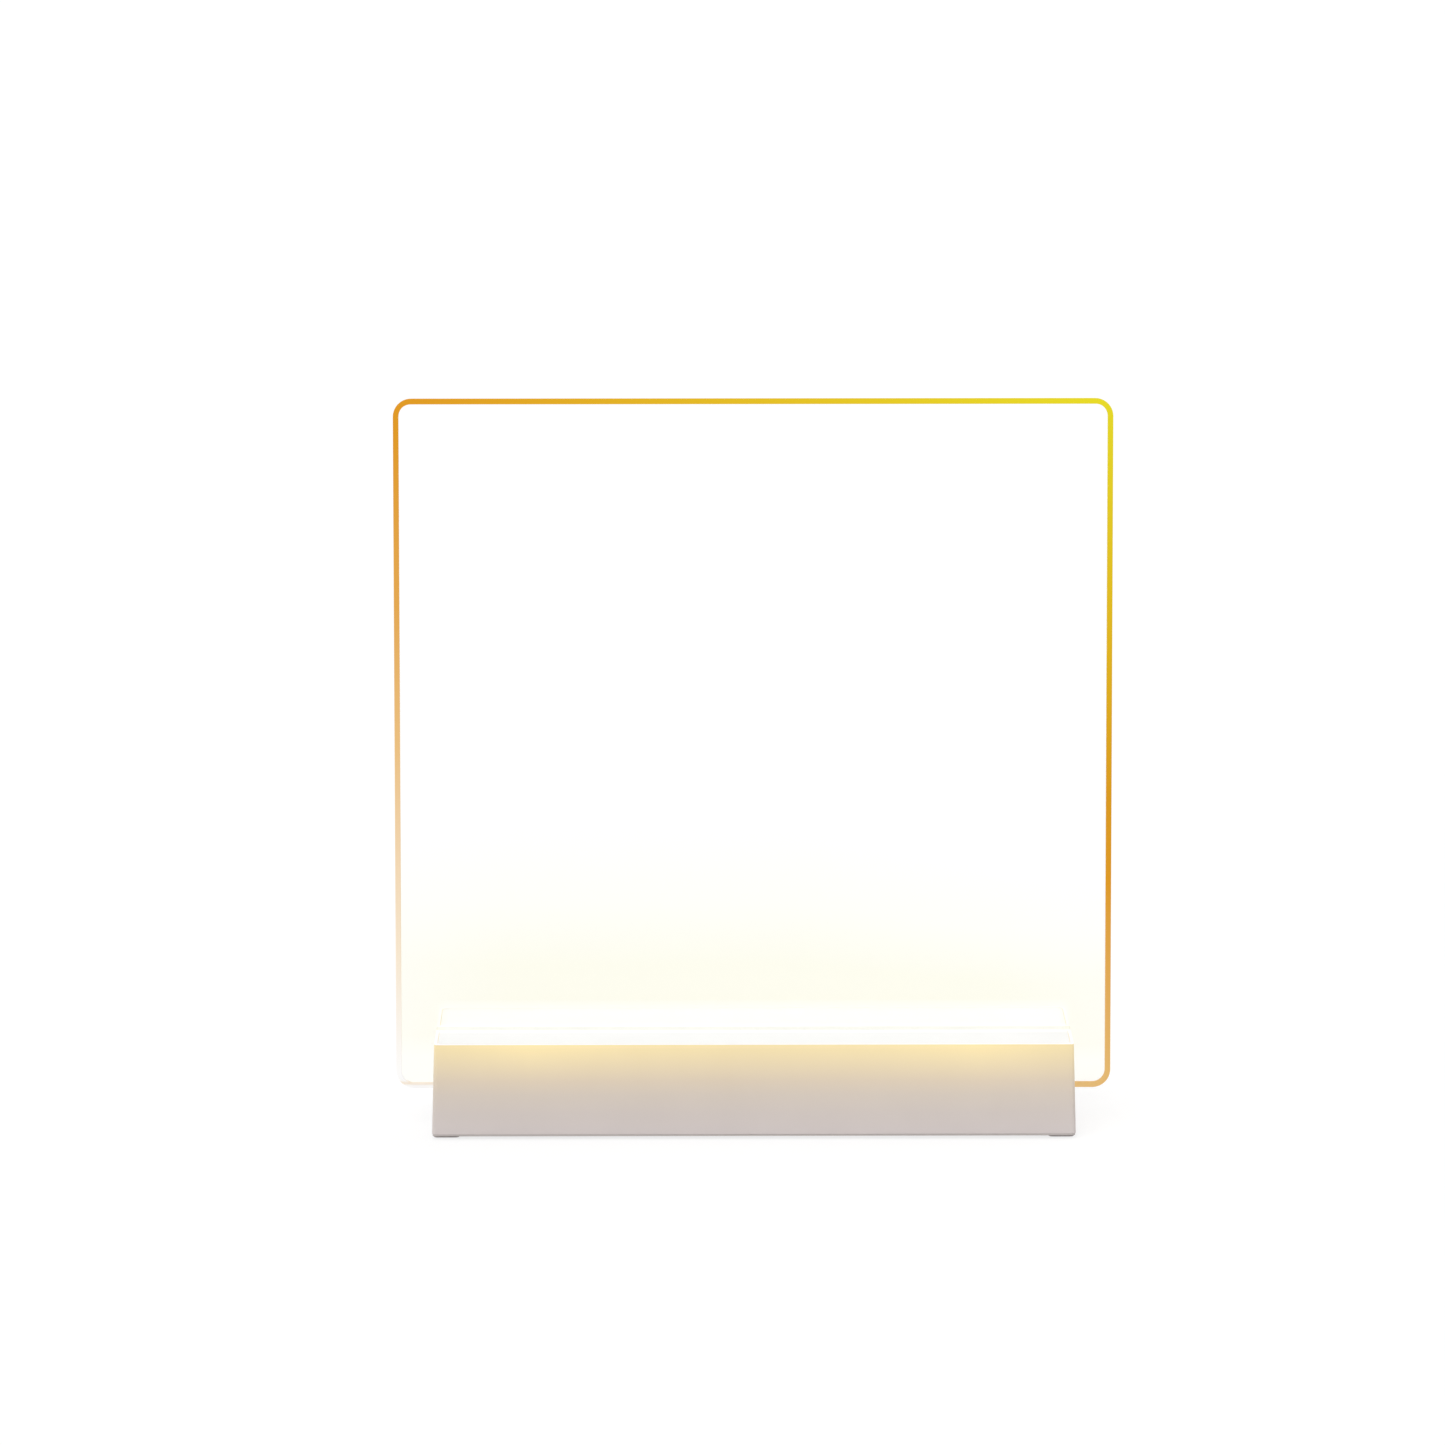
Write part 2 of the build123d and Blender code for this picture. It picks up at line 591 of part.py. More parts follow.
# USB-C inlet: a thin steel shell, open to the rear, round a moulded tongue
with BuildPart() as usb_c_shell:
    with BuildSketch(facing_back(usb_x, usb_mouth, usb_z)):
        RectangleRounded(USB_WIDTH, USB_HEIGHT, USB_HEIGHT / 2 - TONGUE_FIT)
        offset(amount=-USB_SKIN, mode=Mode.SUBTRACT)
    extrude(amount=-USB_LENGTH)
usb_c_shell.part.label = "usb_c_shell"
export_step(usb_c_shell.part, "parts/usb_c_shell.step")

with BuildPart() as usb_c_tongue:
    with BuildSketch(facing_back(usb_x, usb_mouth - USB_LENGTH, usb_z)):
        inner_trim = 2 * (USB_SKIN + TONGUE_FIT)
        inner_height = USB_HEIGHT - inner_trim
        RectangleRounded(USB_WIDTH - inner_trim, inner_height, inner_height / 2 - TONGUE_FIT)
    extrude(amount=TONGUE_ROOT)
    with BuildSketch(facing_back(usb_x, usb_mouth - USB_LENGTH + TONGUE_ROOT, usb_z)):
        Rectangle(TONGUE_WIDTH, TONGUE_THICK)
    extrude(amount=TONGUE_LENGTH)
usb_c_tongue.part.label = "usb_c_tongue"
export_step(usb_c_tongue.part, "parts/usb_c_tongue.step")

# Mode button, which moves towards the viewer when pressed, and the switch behind it
switch_back = board_back - SWITCH_BACK_INSET
plunger_tip = switch_back + PLUNGER_REACH
flange_back = rear_face(button_z + BUTTON_FLANGE_RADIUS) - WALL - BUTTON_FLANGE_GAP
with BuildPart() as mode_button:
    with BuildSketch(facing_back(button_x, plunger_tip, button_z)):
        Circle(BUTTON_STEM_RADIUS)
    extrude(amount=flange_back - plunger_tip)
    with BuildSketch(facing_back(button_x, flange_back, button_z)):
        Circle(BUTTON_FLANGE_RADIUS)
    extrude(amount=-BUTTON_FLANGE_THICK)
    with BuildSketch(facing_back(button_x, flange_back, button_z)):
        Circle(BUTTON_RADIUS)
    extrude(amount=button_floor + BUTTON_PROUD - flange_back)
    fillet(mode_button.faces().sort_by(Axis.Y)[-1].edges(), BUTTON_EDGE)
mode_button.part.label = "mode_button"
export_step(mode_button.part, "parts/mode_button.step")

with BuildPart() as switch_body:
    with BuildSketch(Plane.XY.offset(board_top)):
        with Locations((button_x, switch_back)):
            Rectangle(SWITCH_LENGTH, SWITCH_DEPTH, align=(Align.CENTER, Align.MAX))
    extrude(amount=SWITCH_HEIGHT)
    with BuildSketch(facing_back(button_x, switch_back, button_z)):
        Circle(PLUNGER_RADIUS + PLUNGER_FIT)
    extrude(amount=-PLUNGER_HIDDEN - PLUNGER_TRAVEL_ROOM, mode=Mode.SUBTRACT)
switch_body.part.label = "switch_body"
export_step(switch_body.part, "parts/switch_body.step")

with BuildPart() as switch_plunger:
    with BuildSketch(facing_back(button_x, plunger_tip, button_z)):
        Circle(PLUNGER_RADIUS)
    extrude(amount=-PLUNGER_REACH - PLUNGER_HIDDEN)
switch_plunger.part.label = "switch_plunger"
export_step(switch_plunger.part, "parts/switch_plunger.step")

# Status light: a small diode on the board and the clear pipe that carries its light out
led_back = board_back - STATUS_LED_GAP
with BuildPart() as status_led:
    with BuildSketch(Plane.XY.offset(board_top)):
        with Locations((board_x, led_back)):
            Rectangle(STATUS_LED_LENGTH, STATUS_LED_DEPTH, align=(Align.CENTER, Align.MAX))
    extrude(amount=STATUS_LED_HEIGHT)
status_led.part.label = "status_led"
export_step(status_led.part, "parts/status_led.step")

collar_back = rear_face(pipe_z + PIPE_COLLAR_RADIUS) - WALL - PIPE_WALL_GAP
pipe_front = board_back + PIPE_WALL_GAP
with BuildPart() as light_pipe:
    with BuildSketch(facing_back(board_x, pipe_front, pipe_z)):
        Circle(PIPE_RADIUS)
    extrude(amount=rear_face(pipe_z) - pipe_front)
    with BuildSketch(facing_back(board_x, collar_back, pipe_z)):
        Circle(PIPE_COLLAR_RADIUS)
    extrude(amount=-PIPE_COLLAR_THICK)
light_pipe.part.label = "light_pipe"
export_step(light_pipe.part, "parts/light_pipe.step")

# Two chips with their bent leads, the inductor and the capacitors
board_front = board_y - BOARD_DEPTH / 2
chip_y = board_front + CHIP_INSET
inductor_x = board_x + CHIP_LENGTH + CHIP_GAP
chip_xs = [inductor_x - (INDUCTOR_SIDE + CHIP_LENGTH) / 2 - CHIP_GAP]
chip_xs.append(chip_xs[0] - CHIP_LENGTH - CHIP_GAP)
with BuildPart() as board_chips:
    with BuildSketch(Plane.XY.offset(board_top + CHIP_STANDOFF)):
        with Locations(*[(x, chip_y) for x in chip_xs]):
            Rectangle(CHIP_LENGTH, CHIP_WIDTH)
    extrude(amount=CHIP_THICK)
    chamfer(board_chips.faces().group_by(Axis.Z)[-1].edges(), CHIP_EDGE)
board_chips.part.label = "board_chips"
export_step(board_chips.part, "parts/board_chips.step")

with BuildPart() as chip_leads:
    with BuildSketch(Plane.XY.offset(board_top)):
        for chip_x in chip_xs:
            for side in (-1, 1):
                with Locations((chip_x, chip_y + side * (CHIP_WIDTH + LEAD_REACH) / 2)):
                    with GridLocations(LEAD_PITCH, 0, LEAD_COUNT, 1):
                        Rectangle(LEAD_WIDTH, LEAD_REACH)
    extrude(amount=LEAD_THICK)
    with BuildSketch(Plane.XY.offset(board_top)):
        for chip_x in chip_xs:
            for side in (-1, 1):
                with Locations((chip_x, chip_y + side * (CHIP_WIDTH + LEAD_THICK) / 2)):
                    with GridLocations(LEAD_PITCH, 0, LEAD_COUNT, 1):
                        Rectangle(LEAD_WIDTH, LEAD_THICK)
    extrude(amount=CHIP_STANDOFF + CHIP_THICK / 2)
chip_leads.part.label = "chip_leads"
export_step(chip_leads.part, "parts/chip_leads.step")

with BuildPart() as power_inductor:
    with BuildSketch(Plane.XY.offset(board_top)):
        with Locations((inductor_x, chip_y)):
            RectangleRounded(INDUCTOR_SIDE, INDUCTOR_SIDE, INDUCTOR_EDGE)
    extrude(amount=INDUCTOR_THICK)
power_inductor.part.label = "power_inductor"
export_step(power_inductor.part, "parts/power_inductor.step")

with BuildPart() as board_capacitors:
    with BuildSketch(Plane.XY.offset(board_top)):
        with Locations((board_x, chip_y + CAPACITOR_OFFSET)):
            with GridLocations(CAPACITOR_PITCH, 0, CAPACITOR_COUNT, 1):
                Rectangle(CAPACITOR_WIDTH, CAPACITOR_LENGTH)
    extrude(amount=CAPACITOR_THICK)
    fillet(board_capacitors.faces().group_by(Axis.Z)[-1].edges(), CAPACITOR_EDGE)
board_capacitors.part.label = "board_capacitors"
export_step(board_capacitors.part, "parts/board_capacitors.step")

# Battery connector: a socket on the board's left edge, open to the left, and the plug in it
socket_left = board_x - BOARD_LENGTH / 2 + SOCKET_EDGE_INSET
socket_y = board_y + SOCKET_SHIFT
socket_z = board_top + SOCKET_HEIGHT / 2
socket_inner = (SOCKET_WIDTH - 2 * SOCKET_WALL, SOCKET_HEIGHT - 2 * SOCKET_WALL)
with BuildPart() as battery_socket:
    with BuildSketch(Plane.YZ.offset(socket_left)):
        with Locations((socket_y, socket_z)):
            Rectangle(SOCKET_WIDTH, SOCKET_HEIGHT)
    extrude(amount=SOCKET_LENGTH)
    with BuildSketch(Plane.YZ.offset(socket_left)):
        with Locations((socket_y, socket_z)):
            Rectangle(*socket_inner)
    extrude(amount=SOCKET_LENGTH - SOCKET_WALL, mode=Mode.SUBTRACT)
battery_socket.part.label = "battery_socket"
export_step(battery_socket.part, "parts/battery_socket.step")

plug_left = socket_left - PLUG_OUT
with BuildPart() as battery_plug:
    with BuildSketch(Plane.YZ.offset(plug_left)):
        with Locations((socket_y, socket_z)):
            Rectangle(socket_inner[0] - 2 * SOCKET_FIT, socket_inner[1] - 2 * SOCKET_FIT)
    extrude(amount=PLUG_OUT + SOCKET_LENGTH - SOCKET_WALL)
battery_plug.part.label = "battery_plug"
export_step(battery_plug.part, "parts/battery_plug.step")


def wire_radii(points):
    """One radius for each inner point of a route: as large as its two runs allow."""
    spots = [Vector(*point) for point in points]
    radii = []
    for before, here, after in zip(spots, spots[1:], spots[2:]):
        turn = radians((here - before).get_angle(after - here))
        run = min((here - before).length, (after - here).length)
        radii.append(WIRE_ARC_SHARE * run / tan(turn / 2))
    return radii


def wire(points, radius):
    """Adds a round wire along straight runs joined by arcs, and prints its arc radii and volume check."""
    radii = wire_radii(points)
    with BuildLine() as route:
        FilletPolyline(*points, radius=radii)
    start = route.line @ 0
    with BuildSketch(Plane(origin=start, z_dir=route.line % 0)) as face:
        Circle(radius)
    made = sweep(face.sketch, path=route.line)
    expected = face.sketch.area * sum(edge.length for edge in route.edges())
    print("wire radii", [round(r, 1) for r in radii], "volume share", round(made.volume / expected, 3))


# Red and black leads from the cell to the plug
cell_end_x = cell_right + CELL_NUB_LENGTH + TAB_THICK
cell_start_x = cell_left - TAB_THICK
over_cell = cell_z + CELL_RADIUS + WIRE_RADIUS + WIRE_REST
tab_wire_z = cell_z + TAB_HEIGHT * TAB_WIRE_SHARE
red_y = socket_y + PLUG_PITCH / 2
black_y = socket_y - PLUG_PITCH / 2
wire_run = (plug_left - cell_end_x) * WIRE_RUN_SHARE
with BuildPart() as battery_wire_red:
    wire(
        [
            (cell_end_x, cell_y, tab_wire_z),
            (cell_end_x + wire_run, cell_y, tab_wire_z),
            (plug_left - wire_run, red_y, socket_z),
            (plug_left, red_y, socket_z),
        ],
        WIRE_RADIUS,
    )
battery_wire_red.part.label = "battery_wire_red"
export_step(battery_wire_red.part, "parts/battery_wire_red.step")

loop_x = cell_start_x - CELL_RADIUS
with BuildPart() as battery_wire_black:
    wire(
        [
            (cell_start_x, cell_y, cell_z),
            (loop_x, cell_y, cell_z),
            (loop_x, cell_y, over_cell),
            (cell_end_x + wire_run, cell_y, over_cell),
            (plug_left - wire_run, black_y, socket_z),
            (plug_left, black_y, socket_z),
        ],
        WIRE_RADIUS,
    )
battery_wire_black.part.label = "battery_wire_black"
export_step(battery_wire_black.part, "parts/battery_wire_black.step")

# Red and black leads from the control board's front edge onto the light strip
strip_wire_up = strip_top + LED_WIRE_RADIUS + WIRE_REST
board_wire_z = board_top + LED_WIRE_RADIUS + WIRE_REST
led_wire_x = board_x - LED_WIRE_OFFSET
led_wires = {"led_wire_red": led_wire_x, "led_wire_black": led_wire_x + LED_WIRE_PITCH}
for wire_name, wire_x in led_wires.items():
    with BuildPart() as led_wire:
        wire(
            [
                (wire_x, board_front + LED_WIRE_PAD, board_wire_z),
                (wire_x, board_front, board_wire_z),
                (wire_x, *leaning(STRIP_WIDTH / 2, strip_wire_up)),
                (wire_x, *leaning(LED_WIDTH / 2 + LED_WIRE_RADIUS, strip_wire_up)),
            ],
            LED_WIRE_RADIUS,
        )
    led_wire.part.label = wire_name
    export_step(led_wire.part, f"parts/{wire_name}.step")
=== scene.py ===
# %% [markdown]
# A lit writing board: a clear acrylic panel stands in the slot of a low white base, and warm light climbs
# into its edge. The solids, their places and their joints are already worked out and packed, so this lesson
# only dresses them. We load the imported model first. Everything in it is in metres, with the object's
# footprint centred on the origin.

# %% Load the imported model
from math import cos, radians, sin

import bpy
import numpy as np
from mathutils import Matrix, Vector


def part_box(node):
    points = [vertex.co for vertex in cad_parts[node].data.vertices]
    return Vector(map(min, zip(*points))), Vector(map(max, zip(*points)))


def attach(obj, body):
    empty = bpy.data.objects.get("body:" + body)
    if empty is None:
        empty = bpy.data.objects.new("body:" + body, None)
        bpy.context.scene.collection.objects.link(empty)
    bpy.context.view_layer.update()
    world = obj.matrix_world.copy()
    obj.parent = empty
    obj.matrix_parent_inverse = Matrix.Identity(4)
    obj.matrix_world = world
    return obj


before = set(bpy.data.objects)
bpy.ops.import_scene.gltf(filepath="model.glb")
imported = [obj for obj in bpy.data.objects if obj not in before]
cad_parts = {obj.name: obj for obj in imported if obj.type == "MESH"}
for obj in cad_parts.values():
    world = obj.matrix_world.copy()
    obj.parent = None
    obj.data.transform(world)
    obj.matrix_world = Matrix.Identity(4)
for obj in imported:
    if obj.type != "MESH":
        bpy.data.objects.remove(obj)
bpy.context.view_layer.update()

print("pieces in the packed model:", len(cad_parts))

# %% [markdown]
# Lengths are easier to think about in millimetres, so one value turns them into metres, and three small
# functions give the corners and the middle of any solid. Most places below come from these, so that they
# follow the model.

# %% Places of the solids, in millimetres
MM = 0.001


def low_mm(node):
    """The lowest corner of a node's box, in millimetres."""
    return np.array(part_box(node)[0]) / MM


def high_mm(node):
    """The highest corner of a node's box, in millimetres."""
    return np.array(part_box(node)[1]) / MM


def middle_mm(node):
    """The middle of a node's box, in millimetres."""
    return (low_mm(node) + high_mm(node)) / 2


base_bottom = low_mm("bottom_cover")[2]
base_top = high_mm("housing_shell")[2]
base_end = high_mm("housing_shell")[0]
print("base bottom, top and end, mm:", base_bottom.round(2), base_top.round(2), base_end.round(2))

# %% [markdown]
# What a box can't say is the sheet's own height, thickness, bevel and lean, so these are named. Several
# finishes are drawn in the sheet's own frame, which starts at its foot, the middle of its lower edge.
# The sheet touches its box at two corners of the bevel. The lowest is half the thickness less a bevel behind
# the foot, and the foremost is half the thickness in front of it and a bevel up.

# %% Foot of the leaning panel
PANEL_HEIGHT = 193.0
PANEL_THICK = 4.0
PANEL_BEVEL = 1.5
PANEL_LEAN_DEG = 6.5

lean = radians(PANEL_LEAN_DEG)
half_thick = PANEL_THICK / 2
panel_low, panel_high = low_mm("writing_panel"), high_mm("writing_panel")
foot_y = panel_low[1] + half_thick * cos(lean) - PANEL_BEVEL * sin(lean)
foot_z = panel_low[2] + (half_thick - PANEL_BEVEL) * sin(lean)
panel_foot = (0.0, foot_y, foot_z)
print("panel's foot, mm:", foot_y.round(3), foot_z.round(3))

# %% [markdown]
# The photograph was taken from a little above with a long lens, almost straight on. The distance is
# picked, since distances near it fit about as well. For that distance, a fit to the corners of the panel
# and the base gave the other five numbers. The camera is set by these plain numbers, so the picture's
# frame doesn't depend on any helper.

# %% Camera
CAMERA_DISTANCE = 1800.0
CAMERA_RISE_DEG = 15.256
CAMERA_PITCH_DEG = 11.709
CAMERA_YAW_DEG = 0.369
CAMERA_SIDE = -19.81
CAMERA_LENS = 159.08

rise = radians(CAMERA_RISE_DEG)
camera = bpy.data.objects.new("camera", bpy.data.cameras.new("camera"))
camera.location = (CAMERA_SIDE * MM, -CAMERA_DISTANCE * cos(rise) * MM, CAMERA_DISTANCE * sin(rise) * MM)
camera.rotation_euler = (radians(90 - CAMERA_PITCH_DEG), 0, radians(-CAMERA_YAW_DEG))
camera.data.lens = CAMERA_LENS
bpy.context.scene.collection.objects.link(camera)
bpy.context.scene.camera = camera
print("camera at, mm:", [round(part / MM) for part in camera.location])

# %% [markdown]
# Colours are written as hex, the way paint charts and web pages give them. Shaders work in linear light,
# so one function turns hex into linear red, green and blue.

# %% Hex to linear colour
DARK_LIMIT, DARK_SLOPE = 0.04045, 12.92
CURVE_LIFT, CURVE_POWER = 0.055, 2.4


def linear(code):
    """sRGB hex to linear RGBA: dark values are divided, the others follow the curve to the power 2.4."""
    value = np.array([int(code[at:at + 2], 16) for at in (1, 3, 5)]) / 255
    curve = ((value + CURVE_LIFT) / (1 + CURVE_LIFT)) ** CURVE_POWER
    return (*np.where(value <= DARK_LIMIT, value / DARK_SLOPE, curve).tolist(), 1.0)


WHITE, BLACK = linear("#FFFFFF"), linear("#000000")
print("mid grey in linear light:", [round(part, 3) for part in linear("#808080")])

# %% [markdown]
# A second function adds a node, sets its properties and fills its inputs. All the finishes below are built
# with it. A Mix node keeps its colour sockets behind the plain ones, so their places have names. A ramp is
# given as a few stops, and the shader blends between them.

# %% One function that adds a node
MIX_FACTOR, MIX_FIRST, MIX_SECOND, MIX_RESULT = 0, 6, 7, 2


def add(tree, kind, inputs=None, stops=None, **settings):
    """Adds a node. An input given a node or a socket is linked, and any other is set to the value."""
    made = tree.nodes.new("ShaderNode" + kind)
    for name, value in settings.items():
        setattr(made, name, value)
    for name, value in (inputs or {}).items():
        if isinstance(value, bpy.types.Node):
            value = value.outputs[MIX_RESULT if getattr(value, "data_type", None) == "RGBA" else 0]
        if isinstance(value, bpy.types.NodeSocket):
            tree.links.new(value, made.inputs[name])
        else:
            made.inputs[name].default_value = value
    for count, (place, code) in enumerate(stops or ()):
        elements = made.color_ramp.elements
        element = elements[count] if count < 2 else elements.new(place)
        element.position = place
        element.color = linear(code)
    return made


print("a colour mix answers on output:", MIX_RESULT)

# %% [markdown]
# Every finish starts the same way: an empty node tree and the object's own coordinates, turned into
# millimetres. A pattern's scale is then one over its real size: a grain of 0.8 mm has a scale of 1 / 0.8.

# %% Start of every finish
finishes = {}


def blank(name):
    """An empty material, with its object coordinates in millimetres."""
    material = bpy.data.materials.new(name)
    material.use_nodes = True
    tree = material.node_tree
    tree.nodes.clear()
    add(tree, "OutputMaterial")
    object_place = add(tree, "TexCoord").outputs["Object"]
    place = add(tree, "VectorMath", {0: object_place, "Scale": 1 / MM}, operation="SCALE")
    finishes[name] = material
    return tree, place


def shows(tree, shader):
    """Links a shader to the material's output, in place of what was there."""
    output = next(node for node in tree.nodes if node.bl_idname == "ShaderNodeOutputMaterial")
    tree.links.new(shader.outputs[0], output.inputs["Surface"])


print("coordinates are multiplied by:", 1 / MM)

# %% [markdown]
# Most parts here are moulded, stamped or painted. Up close these show two things: soft blotches where the
# colour or thickness drifts, and a fine grit that scatters the highlight. One function lays both over any
# two close tones.

# %% Two tones, a blotch and a grit
BLOTCH_DETAIL, GRIT_DETAIL = 3, 2
ROUGH_SWING = 0.07


def surfaced(name, dark, light, blotch, grit, rough, raise_mm, sockets=None):
    """Mixes two tones by a noise of size blotch, and roughens and raises the surface by one of size grit."""
    tree, place = blank(name)
    drift = add(tree, "TexNoise", {"Vector": place, "Scale": 1 / blotch, "Detail": BLOTCH_DETAIL})
    tones = {MIX_FACTOR: drift, MIX_FIRST: linear(dark), MIX_SECOND: linear(light)}
    tone = add(tree, "Mix", tones, data_type="RGBA")
    specks = add(tree, "TexNoise", {"Vector": place, "Scale": 1 / grit, "Detail": GRIT_DETAIL})
    swing = {"To Min": rough - ROUGH_SWING, "To Max": rough + ROUGH_SWING}
    gloss = add(tree, "MapRange", {"Value": specks, **swing})
    relief = add(tree, "Bump", {"Height": specks, "Distance": raise_mm * MM})
    drawn = {"Base Color": tone, "Roughness": gloss, "Normal": relief}
    body = add(tree, "BsdfPrincipled", {**drawn, **(sockets or {})})
    shows(tree, body)
    return tree, place, body


print("a roughness drifts either way by:", ROUGH_SWING)

# %% [markdown]
# The base is moulded in white ABS with a fine spark-eroded texture, which reads as a soft satin white.
# Its two tones are written greyer than that: partly the plastic's own tone, partly painted shade for the
# walls, which stand in shade beside the bright top.
# Behind its walls the light strip shines. The top of each wall passes some of that warm light, which fades
# downward and is gone in the lowest quarter. Real scattering inside a 2 mm wall is slow and noisy to
# render, so a painted glow, a short ramp of emission by height, gives the same look, and it goes with the
# part wherever it is used. A second ramp is painted light as well: it warms the walls' colour toward the
# top and cools it a little below. The glow is a little stronger about a third of the way from each end to
# the middle.

# %% White ABS shell, with the glow in its walls
# painted light: the first ramp warms the walls' colour toward the top, the second is a painted glow
SHELL_WARM_LIGHT = ((0.0, "#FCFCFF"), (0.45, "#FCF9F2"), (1.0, "#FAF0D4"))
SHELL_GLOW = ((0.25, "#000000"), (0.45, "#383010"), (0.6, "#605020"), (1.0, "#B0A050"))
ALONG_GLOW = ((0.0, "#E0E0E0"), (0.4, "#E8E8E8"), (0.7, "#F8F8F8"), (1.0, "#DADADA"))

# partly painted shade: the two tones are greyer than white ABS, for the walls' shade
tree, place, body = surfaced(
    "white_abs", dark="#D2C9C5", light="#D8CFCB", blotch=24, grit=0.9, rough=0.42, raise_mm=0.012
)
where = add(tree, "SeparateXYZ", {0: place})
climb = add(tree, "MapRange", {"Value": where.outputs["Z"], "From Min": base_bottom, "From Max": base_top})
painted_warmth = add(tree, "ValToRGB", {"Fac": climb}, stops=SHELL_WARM_LIGHT)
warm = add(tree, "ValToRGB", {"Fac": climb}, stops=SHELL_GLOW)
reach = add(tree, "Math", {0: where.outputs["X"]}, operation="ABSOLUTE")
reach = add(tree, "MapRange", {"Value": reach, "From Max": base_end})
along = add(tree, "ValToRGB", {"Fac": reach}, stops=ALONG_GLOW)
both = {MIX_FACTOR: 1, MIX_FIRST: warm, MIX_SECOND: along}
glow = add(tree, "Mix", both, data_type="RGBA", blend_type="MULTIPLY")
print("glow stops on the shell:", len(SHELL_GLOW))

# %% [markdown]
# The rim on top of the walls faces the sky and sits beside the lit lid, so it reads as near white, without
# the painted warmth. That white is painted light: the rim gets a bluish-white glow of its own. A face
# belongs to it where it looks up and lies at the very top.

# %% White rim on top of the shell, by a painted glow
SHELL_POWER = 1.0
# painted light: the rim's own glow, standing for the sky and the lit lid beside it
RIM_GLOW = "#969DA6"
RIM_FROM_SHARE = 0.95
UP_SHARE = 0.7

facing = add(tree, "SeparateXYZ", {0: add(tree, "NewGeometry").outputs["True Normal"]})
upward = add(tree, "Math", {0: facing.outputs["Z"], 1: UP_SHARE}, operation="GREATER_THAN")
on_top = add(tree, "Math", {0: climb, 1: RIM_FROM_SHARE}, operation="GREATER_THAN")
on_rim = add(tree, "Math", {0: upward, 1: on_top}, operation="MULTIPLY")
on_wall = add(tree, "Math", {0: 1.0, 1: on_rim}, operation="SUBTRACT")
tone = body.inputs["Base Color"].links[0].from_socket
tones = {MIX_FACTOR: on_wall, MIX_FIRST: tone, MIX_SECOND: painted_warmth}
warmed_tone = add(tree, "Mix", tones, data_type="RGBA", blend_type="MULTIPLY")
glows = {MIX_FACTOR: on_rim, MIX_FIRST: glow, MIX_SECOND: linear(RIM_GLOW)}
shine = add(tree, "Mix", glows, data_type="RGBA")
tree.links.new(warmed_tone.outputs[MIX_RESULT], body.inputs["Base Color"])
tree.links.new(shine.outputs[MIX_RESULT], body.inputs["Emission Color"])
body.inputs["Emission Strength"].default_value = SHELL_POWER
print("rim from, mm:", (base_bottom + RIM_FROM_SHARE * (base_top - base_bottom)).round(2))

# %% [markdown]
# The lid and the channel under it are one milky polycarbonate moulding. It takes the light from the strip
# below and spreads it until the diodes can't be told apart, so the whole top reads as white light.
# Its colour stays pale and its own glow makes up the rest. A little more glow down in the channel is
# painted light: it lifts the channel's walls out of their shade.
# Faint clouds in the milk keep it from looking painted.

# %% Milky polycarbonate lid and channel
MILK_GLOW = "#FFFDF7"
MILK_POWER = 0.17
# painted light: the stronger glow in the channel lifts its walls out of their shade
CHANNEL_POWER = 0.27
CHANNEL_MIDDLE = -3.0
CHANNEL_FADE = (3.5, 6.0)

tree, place, body = surfaced(
    "milky_polycarbonate", dark="#DADBDC", light="#E0E1E3", blotch=16, grit=1.1, rough=0.34, raise_mm=0.006
)
where = add(tree, "SeparateXYZ", {0: place})
away = add(tree, "Math", {0: where.outputs["Y"], 1: CHANNEL_MIDDLE}, operation="SUBTRACT")
away = add(tree, "Math", {0: away}, operation="ABSOLUTE")
power = add(tree, "MapRange", {
    "Value": away, "From Min": CHANNEL_FADE[0], "From Max": CHANNEL_FADE[1],
    "To Min": CHANNEL_POWER, "To Max": MILK_POWER,
})
body.inputs["Emission Color"].default_value = linear(MILK_GLOW)
tree.links.new(power.outputs[0], body.inputs["Emission Strength"])
print("glow powers of the lid and the channel:", MILK_POWER, CHANNEL_POWER)

# %% [markdown]
# The writing panel is cast acrylic. Its two faces are as cast: clear, glossy, nearly invisible on white.
# Its edge is cut and bevelled, and the satin cut lets out the light that travels inside the sheet.
# The finish is drawn in the sheet's own frame: a Mapping node moves the foot to the origin and stands the
# sheet upright. Then x runs across the sheet, y through it and z up it.

# %% The leaning sheet's own frame


def leaning(tree, place):
    """A place measured from the panel's foot, with the lean taken out."""
    inputs = {"Vector": place, "Location": panel_foot, "Rotation": (-lean, 0, 0)}
    return add(tree, "Mapping", inputs, vector_type="TEXTURE")


tree, place = blank("clear_acrylic")
sheet_place = leaning(tree, place)
where = add(tree, "SeparateXYZ", {0: sheet_place})
aside = add(tree, "Math", {0: where.outputs["X"]}, operation="ABSOLUTE")
print("lean taken out, degrees:", PANEL_LEAN_DEG)

# %% [markdown]
# The light in the cut is the coloured line in the photograph: orange at the lower right and up the left
# side, yellow at the upper right, and fading to white at the lower left, where only the bottom bevel shows
# a thin cream line. Two ramps by height, one for each side, blend by the width.

# %% Colours of the lit line
LEFT_LINE = (
    (0.004, "#FFFFFF"), (0.006, "#F8E8D4"), (0.009, "#F8E8D4"), (0.012, "#FFFFFF"),
    (0.2, "#F8E8D0"), (0.5, "#ECC080"), (0.7, "#E4A850"), (0.95, "#E09820"),
)
RIGHT_LINE = ((0.0, "#E8BC74"), (0.3, "#E09A1C"), (0.42, "#DC9A14"), (0.65, "#E2B616"), (1.0, "#E8DC22"))

